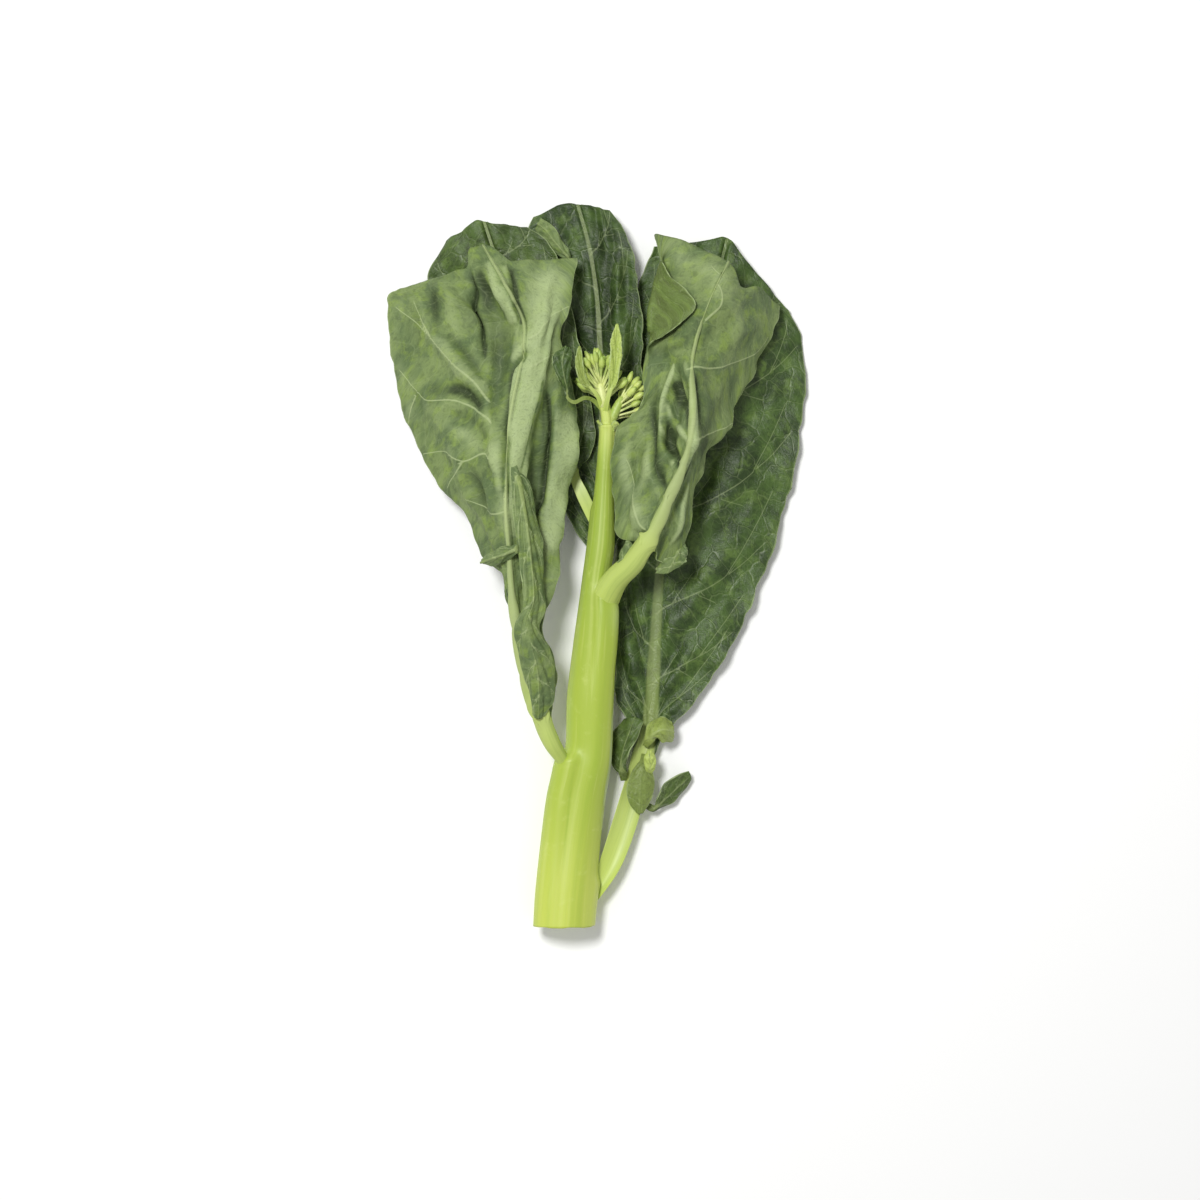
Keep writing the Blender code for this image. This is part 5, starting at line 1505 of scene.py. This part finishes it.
def stem_skin(look):
    """Smooth waxy stem: lime bands that run along it, paler at the cut and greener towards the head, with a
    painted highlight under the right leaf's joint and painted shade along a crease.
    """
    material, tree = new_skin("waxy_lime_stem")
    place = add_node(tree, "ShaderNodeUVMap", {"uv_map": "skin"}).outputs[0]
    drawn_out = {"Vector": place, "Scale": (1.0, STEM_STRETCH, 1.0)}
    along = add_node(tree, "ShaderNodeMapping", None, drawn_out).outputs[0]
    noise = {
        key: add_node(tree, "ShaderNodeTexNoise", None, noise_inputs(along, *grain)).outputs[0]
        for key, grain in STEM_NOISE.items()
    }
    mottle = add_node(tree, "ShaderNodeTexNoise", None, noise_inputs(place, *STEM_MOTTLE)).outputs[0]
    carried = {
        key: add_node(tree, "ShaderNodeAttribute", {"attribute_name": key}).outputs["Fac"]
        for key in ("rise", "bloom_and_highlight", "crease_shade")
    }
    skin_coats = (
        (carried["rise"], 0.0, 0.3, 1.0, look.middle_skin),
        (carried["rise"], 0.45, 0.72, 1.0, look.high_skin),
        (carried["rise"], 0.86, 0.97, 1.0, look.top_skin),
        (noise["bands"], 0.48, 0.64, 0.4, look.streak),
        (noise["fibres"], 0.5, 0.75, 0.2, look.streak),
        (noise["bands"], 0.46, 0.32, 0.4, look.pale_band),
        (noise["fibres"], 0.44, 0.3, 0.2, look.pale_band),
        (mottle, 0.55, 0.75, 0.3, look.pale_band),
        # Wax bloom with the painted highlight under the right leaf's joint, then painted shade along the
        # crease.
        (carried["bloom_and_highlight"], 0.0, 1.0, 0.7, look.bloom_and_highlight),
        (carried["crease_shade"], 0.0, 1.0, 0.6, look.streak),
    )
    skin = coated(tree, look.low_skin, skin_coats)
    gloss = {
        "Roughness": 0.42,
        "Specular IOR Level": 0.35,
        "Subsurface Weight": 0.12,
        "Subsurface Scale": 0.004,
        "Subsurface Radius": (0.8, 1.0, 0.4),
    }
    finish_skin(tree, skin, noise["fibres"], 0.00015, gloss)
    return material


def pith_skin(look):
    """Wet cut flesh: pale, with fine dots of fibres and a soft shine."""
    material, tree = new_skin("cut_pith")
    place = add_node(tree, "ShaderNodeTexCoord").outputs["Object"]
    fibres = add_node(tree, "ShaderNodeTexNoise", None, noise_inputs(place, *PITH_FIBRES)).outputs[0]
    skin = coated(tree, look.pith, ((fibres, 0.5, 0.72, 0.5, look.middle_skin),))
    finish_skin(tree, skin, fibres, 0.0002, {"Roughness": 0.35})
    return material


def bud_skin(look):
    """Closed buds: yellow-green sepals with greener tips, on pale stalklets."""
    material, tree = new_skin("bud_sepals")
    place = add_node(tree, "ShaderNodeTexCoord").outputs["Object"]
    noise = {
        key: add_node(tree, "ShaderNodeTexNoise", None, noise_inputs(place, *grain)).outputs[0]
        for key, grain in BUD_NOISE.items()
    }
    rise, tint = (
        add_node(tree, "ShaderNodeAttribute", {"attribute_name": key}).outputs["Fac"]
        for key in ("rise", "tint")
    )
    skin_coats = (
        (rise, 0.28, 0.42, 1.0, look.bud),
        (tint, 0.3, 1.0, 0.6, look.bud_tip),
        (noise["patches"], 0.4, 0.62, 0.4, look.bud_tip),
        (rise, 0.2, 0.12, 1.0, look.stalklet),
        (rise, 0.7, 1.0, 0.8, look.bud_tip),
        (noise["grain"], 0.5, 0.8, 0.35, look.bud_tip),
        (noise["grain"], 0.45, 0.3, 0.35, look.stalklet),
    )
    skin = coated(tree, look.stalklet, skin_coats)
    finish_skin(tree, skin, noise["grain"], 0.0001, {"Roughness": 0.45})
    return material


def turn_from(angles, degrees):
    """Degrees from a place round the stem, from -180 to 180."""
    return (np.degrees(angles) - degrees + 180) % 360 - 180


def stem_wall(rows, sides, flute_depth):
    """Rings of the stem's wall with its swellings and flutes, their distances up it, and their angles."""
    line = through(STEM, np.linspace(0, len(STEM) - 1, rows))
    x, run, z, thin = (line[:, k : k + 1] for k in range(4))
    angles = np.linspace(0, 2 * np.pi, sides + 1)
    radius = np.repeat(thin, sides + 1, axis=1)
    for distance, angle, height, fade in NODES:
        below = distance - run
        strength = np.where(below > 0, np.exp(-below / fade), hill(below / SWELLING_TOP))
        turn = turn_from(angles, angle) / SWELLING_ANGLE
        radius += height * strength * (hill(turn) + hill(turn / SWELLING_SHOULDER, 6)) / 2
    for count, height, twist, start in FLUTES:
        flute = height * np.cos(count * angles + twist * FLUTE_TWIST * run + start)
        radius += flute_depth * flute * np.minimum(1, thin / FLUTED_RADIUS)
    wall = np.broadcast_arrays(
        x + radius * np.cos(angles), run, np.maximum(z + radius * np.sin(angles), 0.0)
    )
    return np.stack(wall, axis=-1), run[:, 0], angles


def stem_values(run, angles, around):
    """How far up the stem each place is, how waxy it is with the painted highlight under the right leaf's
    joint, and how much shade is painted along the crease, for its material.
    """
    right = ramp(np.cos(angles - math.radians(BLOOM_ANGLE)), *BLOOM_EDGE) * bump(run, *BLOOM_ENDS)
    patches = random_hills(around, np.broadcast_to(run, around.shape), BLOOM_PATCHES)
    bloom_and_highlight = right * ramp(patches, *BLOOM_GAPS)
    off_joint = ((run - JOINT_RUN) / JOINT_LENGTH) ** 2 + (turn_from(angles, JOINT_ANGLE) / JOINT_WIDTH) ** 2
    # A painted highlight under the right leaf's joint.
    bloom_and_highlight += JOINT_HIGHLIGHT * np.exp(-off_joint)
    # Painted shade along the soft crease beside the lower left swelling.
    turn = turn_from(angles, np.interp(run, CREASE_RUN, CREASE_ANGLE))
    crease_shade = hill(turn / CREASE_WIDTH) * bump(run, *CREASE_ENDS)
    rise = np.broadcast_to(np.clip(run / STEM[-1][1], 0, 1), around.shape)
    return {"rise": rise, "bloom_and_highlight": bloom_and_highlight, "crease_shade": crease_shade}


def make_stem(settings):
    """The stem, with its cut end dished and its top drawn to a point inside the head."""
    wall, run, angles = stem_wall(settings.rings, settings.sides, settings.flute_depth / MM)
    ragged = random_hills(np.degrees(angles), 0 * angles, RAGGED_CUT)
    turn = angles / angles[-1]
    wall[0, :, 1] += ragged - turn * ragged[-1] - (1 - turn) * ragged[0]
    middle = wall[0].mean(axis=0)
    dish = []
    for share, depth in CUT_DISH:
        ring = middle + (wall[0] - middle) * share
        ring[:, 1] += CUT_DEPTH * depth
        dish.append(ring)
    top = np.repeat(wall[-1].mean(axis=0)[None], len(angles), axis=0)
    rings = np.concatenate([np.stack(dish), wall, top[None]])
    run = np.concatenate([np.zeros(len(dish)), run, run[-1:]])[:, None]
    around = np.tile(STEM_SIDE * angles, (len(rings), 1))
    places = np.stack([around, np.broadcast_to(run, around.shape)], axis=-1)
    stem = rolled_tube("stem_skin_piece", rings, places, stem_values(run, angles, around))
    stem.data.materials.append(stem_skin(settings))
    stem.data.materials.append(pith_skin(settings))
    marks = np.zeros(len(stem.data.polygons), np.int32)
    marks[: len(dish) * settings.sides] = 1
    stem.data.polygons.foreach_set("material_index", marks)
    return finish_piece(stem, "stem_skin", "stem")


def ring_round(way, beside, sides):
    """A ring of points at 1 mm from a line that runs this way, and how far round each is."""
    first = unit(np.cross(way, beside))
    turn = np.linspace(0, 2 * np.pi, sides + 1)[:, None]
    return np.cos(turn) * first + np.sin(turn) * np.cross(way, first), turn


def branch_rings(branch):
    """Rings of the branch under a head, from a point inside the stem to a rounded top."""
    start, end = np.array(branch)
    ring, _ = ring_round(unit(end - start), UP, BRANCH_SIDES)
    return np.stack([start + share * (end - start) + radius * ring for share, radius in BRANCH_SHAPE])


def bud_rings(start, way, stalk_length, bud, sides):
    """Rings of one stalklet with its bud, whose four sepals meet in shallow grooves."""
    bud_length, bud_radius = bud
    ring, turn = ring_round(way, ASKEW, sides)
    grooved = ring * (1 - SEPAL_GROOVE * np.abs(np.sin(2 * turn)) ** GROOVE_SHARPNESS)
    profile = [(share * stalk_length, radius * STALKLET_RADIUS) for share, radius in STALKLET_SHAPE]
    for share in BUD_RINGS:
        plump = np.sin(np.pi * share**BUD_BELLY) ** BUD_FULLNESS
        profile.append((stalk_length + share * bud_length, bud_radius * plump))
    profile.append((stalk_length + bud_length, 0.0))
    rings = [
        start + distance * way + radius * (grooved if distance > stalk_length else ring)
        for distance, radius in profile
    ]
    distances = np.array(profile)[:, 0]
    rise = STALKLET_RISE * np.minimum(1, distances / stalk_length)
    rise += (1 - STALKLET_RISE) * np.maximum(0, (distances - stalk_length) / bud_length)
    return np.stack(rings), rise


def bud_line(start, way, stalk_length, bud):
    """Points along a stalklet's outer part and its bud."""
    distances = np.linspace(CHECKED_FROM * stalk_length, stalk_length + bud[0], CHECKED_POINTS)
    return start + way * distances[:, None]


def bud_stalklets(head, keep_clear):
    """Start, way, stalklet length and bud size of each bud, by the golden angle from the top down."""
    base, top = np.array(head["branch"])
    aim = unit(top - base)
    first = unit(np.cross(aim, UP))
    second = np.cross(first, aim)
    rng = np.random.default_rng(head["count"])
    kept = []
    for number in range(head["count"]):
        share = (number + 0.5) / head["count"]
        lean = math.radians(head["widest"]) * math.sqrt(share) * rng.uniform(*LEAN_SPREAD)
        turn = math.radians(GOLDEN_ANGLE * number + rng.uniform(*TURN_SPREAD))
        way = math.cos(lean) * aim + math.sin(lean) * (math.cos(turn) * first + math.sin(turn) * second)
        bud = tuple(size * rng.uniform(SMALLEST_BUD, 1.0) for size in head["bud"])
        start = top + (base - top) * ROOTED_SHARE * share
        stalklet = (start, way, head["reach"] * rng.uniform(*REACH_SPREAD) - bud[0] / 2, bud)
        distances = np.linalg.norm(bud_line(*stalklet)[:, None] - keep_clear[None], axis=-1)
        if way[2] < OPEN_FRONT and distances.min() > bud[1] + BUD_CLEARANCE:
            kept.append(stalklet)
    return kept


def tube_part(name, rings, rise, tint):
    """One closed tube with its rise and its own tint for the material."""
    shape = rings.shape[:2]
    values = {"rise": np.tile(rise[:, None], (1, shape[1])), "tint": np.full(shape, tint)}
    return rolled_tube(name, rings, np.zeros((*shape, 2)), values)


def make_head(name, stalklets, skin, sides):
    """A branch and its buds in one piece."""
    rings = branch_rings(HEADS[name]["branch"])
    tint = HEADS[name]["branch_tint"]
    rise = np.full(len(rings), BRANCH_RISE + GREEN_BRANCH_RISE * tint)
    parts = [tube_part(name + "_branch", rings, rise, tint)]
    for number, stalklet in enumerate(stalklets):
        rings, rise = bud_rings(*stalklet, sides)
        parts.append(tube_part(name + "_bud", rings, rise, (GOLDEN_SHARE * number) % 1))
    start_clean()
    for part in parts:
        part.select_set(True)
    bpy.context.view_layer.objects.active = parts[0]
    bpy.ops.object.join()
    made = bpy.context.object
    made.name = made.data.name = name + "_piece"
    made.data.materials.append(skin)
    return finish_piece(made, "bud_skin", name)


class STALK_OT_stem(Operator):
    """Builds the stem with its swellings, flutes and dished cut end"""

    bl_idname = "stalk.stem"
    bl_label = "Stem"

    def execute(self, context):
        make_stem(context.scene.stalk_stem)
        return {"FINISHED"}


class STALK_OT_leaves(Operator):
    """Builds the five leaves: two show their waxy underside, and three their glossy upper side"""

    bl_idname = "stalk.leaves"
    bl_label = "Leaves"

    def execute(self, context):
        for name, leaf in LEAVES.items():
            leaf_piece(name, leaf, context.scene.stalk_leaf, name)
        return {"FINISHED"}


class STALK_OT_lobes(Operator):
    """Builds the small blades that grow from the leaf stalks"""

    bl_idname = "stalk.lobes"
    bl_label = "Leaf stalk lobes"

    def execute(self, context):
        for name, leaf in LOBES.items():
            leaf_piece(name, leaf, context.scene.stalk_leaf)
        return {"FINISHED"}


class STALK_OT_bracts(Operator):
    """Builds the three small leaves round the head"""

    bl_idname = "stalk.bracts"
    bl_label = "Bracts"

    def execute(self, context):
        for name, leaf in BRACTS.items():
            leaf_piece(name, leaf, context.scene.stalk_leaf, name)
        return {"FINISHED"}


class STALK_OT_bud_heads(Operator):
    """Builds the main head of buds and the side spray, clear of the leaves beside them"""

    bl_idname = "stalk.bud_heads"
    bl_label = "Bud heads"

    def execute(self, context):
        settings = context.scene.stalk_head
        skin = bud_skin(settings)
        neighbours = (*BRACTS.values(), LEAVES["leaf_right"], LEAVES["leaf_left"])
        coarse = [leaf_form(leaf | {"cells": NEIGHBOUR_CELLS}, 1) for leaf in neighbours]
        beside = [form.sheet.reshape(-1, 3) for form in coarse]
        main_buds = bud_stalklets(HEADS["bud_head"], np.vstack(beside))
        for stalklet in main_buds:
            _, radius = stalklet[3]
            beside += [bud_line(*stalklet) + radius * step for step in (*np.eye(3), *-np.eye(3))]
        side_buds = bud_stalklets(HEADS["bud_spray"], np.vstack(beside))
        make_head("bud_head", main_buds, skin, settings.sides)
        make_head("bud_spray", side_buds, skin, settings.sides)
        return {"FINISHED"}


def add_light(name, place, size, power):
    """A round soft light that faces the part's origin."""
    light = bpy.data.lights.new(name, "AREA")
    light.energy = power
    light.shape = "DISK"
    light.size = size
    made = bpy.data.objects.new(name, light)
    bpy.context.scene.collection.objects.link(made)
    made.location = place
    made.rotation_euler = made.location.to_track_quat("Z", "Y").to_euler()
    return made


def add_camera():
    """The camera straight above the stalk, as far away as the photograph's."""
    camera = bpy.data.cameras.new("camera")
    camera.lens = camera.sensor_width * CAMERA_HEIGHT / VIEW_WIDTH
    camera.clip_start, camera.clip_end = 0.01, 20.0
    eye = bpy.data.objects.new("camera", camera)
    bpy.context.scene.collection.objects.link(eye)
    eye.location = (np.array([*CAMERA_SPOT, CAMERA_HEIGHT]) - REST_SPOT) * MM
    return eye


def board_skin(look):
    """Matt white board, so pale that only shadows show on it."""
    material, tree = new_skin("matt_white_board")
    paint = {"Base Color": look.table, "Roughness": 0.9}
    shader = add_node(tree, "ShaderNodeBsdfPrincipled", None, paint)
    add_node(tree, "ShaderNodeOutputMaterial", None, {"Surface": shader.outputs[0]})
    return material


class STALK_OT_stage(Operator):
    """Builds the pale table, the soft light and the camera straight above"""

    bl_idname = "stalk.stage"
    bl_label = "Stage"

    def execute(self, context):
        settings = context.scene.stalk_stage
        start_clean()
        bpy.ops.mesh.primitive_grid_add(x_subdivisions=2, y_subdivisions=2, size=TABLE_SIZE)
        table = context.object
        table.name = "table"
        table.data.materials.append(board_skin(settings))

        scene = context.scene
        scene.world = bpy.data.worlds.new("studio")
        scene.world.use_nodes = True
        background = scene.world.node_tree.nodes["Background"]
        background.inputs["Color"].default_value = WHITE
        background.inputs["Strength"].default_value = settings.fill
        add_light("key", KEY_PLACE, KEY_SIZE, settings.key_power)
        scene.camera = add_camera()
        scene.view_settings.view_transform = "Standard"
        return {"FINISHED"}


OPERATORS = (
    STALK_OT_stem,
    STALK_OT_leaves,
    STALK_OT_lobes,
    STALK_OT_bracts,
    STALK_OT_bud_heads,
    STALK_OT_stage,
)
SETTINGS = {
    "stalk_stem": StemSettings,
    "stalk_leaf": LeafSettings,
    "stalk_head": HeadSettings,
    "stalk_stage": StageSettings,
}


class STALK_PT_pieces(Panel):
    """Lists the stalk's settings and the operators that build its pieces"""

    bl_idname = "STALK_PT_pieces"
    bl_label = "Stalk"
    bl_space_type = "VIEW_3D"
    bl_region_type = "UI"
    bl_category = "Stalk"

    def draw(self, context):
        for operator in OPERATORS:
            self.layout.operator(operator.bl_idname)
        for name, group in SETTINGS.items():
            box = self.layout.box()
            for key in group.__annotations__:
                box.prop(getattr(context.scene, name), key)


def register():
    for made in (*SETTINGS.values(), *OPERATORS, STALK_PT_pieces):
        bpy.utils.register_class(made)
    for name, group in SETTINGS.items():
        setattr(bpy.types.Scene, name, PointerProperty(type=group))


def unregister():
    for name in SETTINGS:
        delattr(bpy.types.Scene, name)
    for made in reversed((*SETTINGS.values(), *OPERATORS, STALK_PT_pieces)):
        bpy.utils.unregister_class(made)


def main():
    register()
    bpy.ops.stalk.stem()
    bpy.ops.stalk.leaves()
    bpy.ops.stalk.lobes()
    bpy.ops.stalk.bracts()
    bpy.ops.stalk.bud_heads()
    bpy.ops.stalk.stage()


if __name__ == "__main__":
    main()
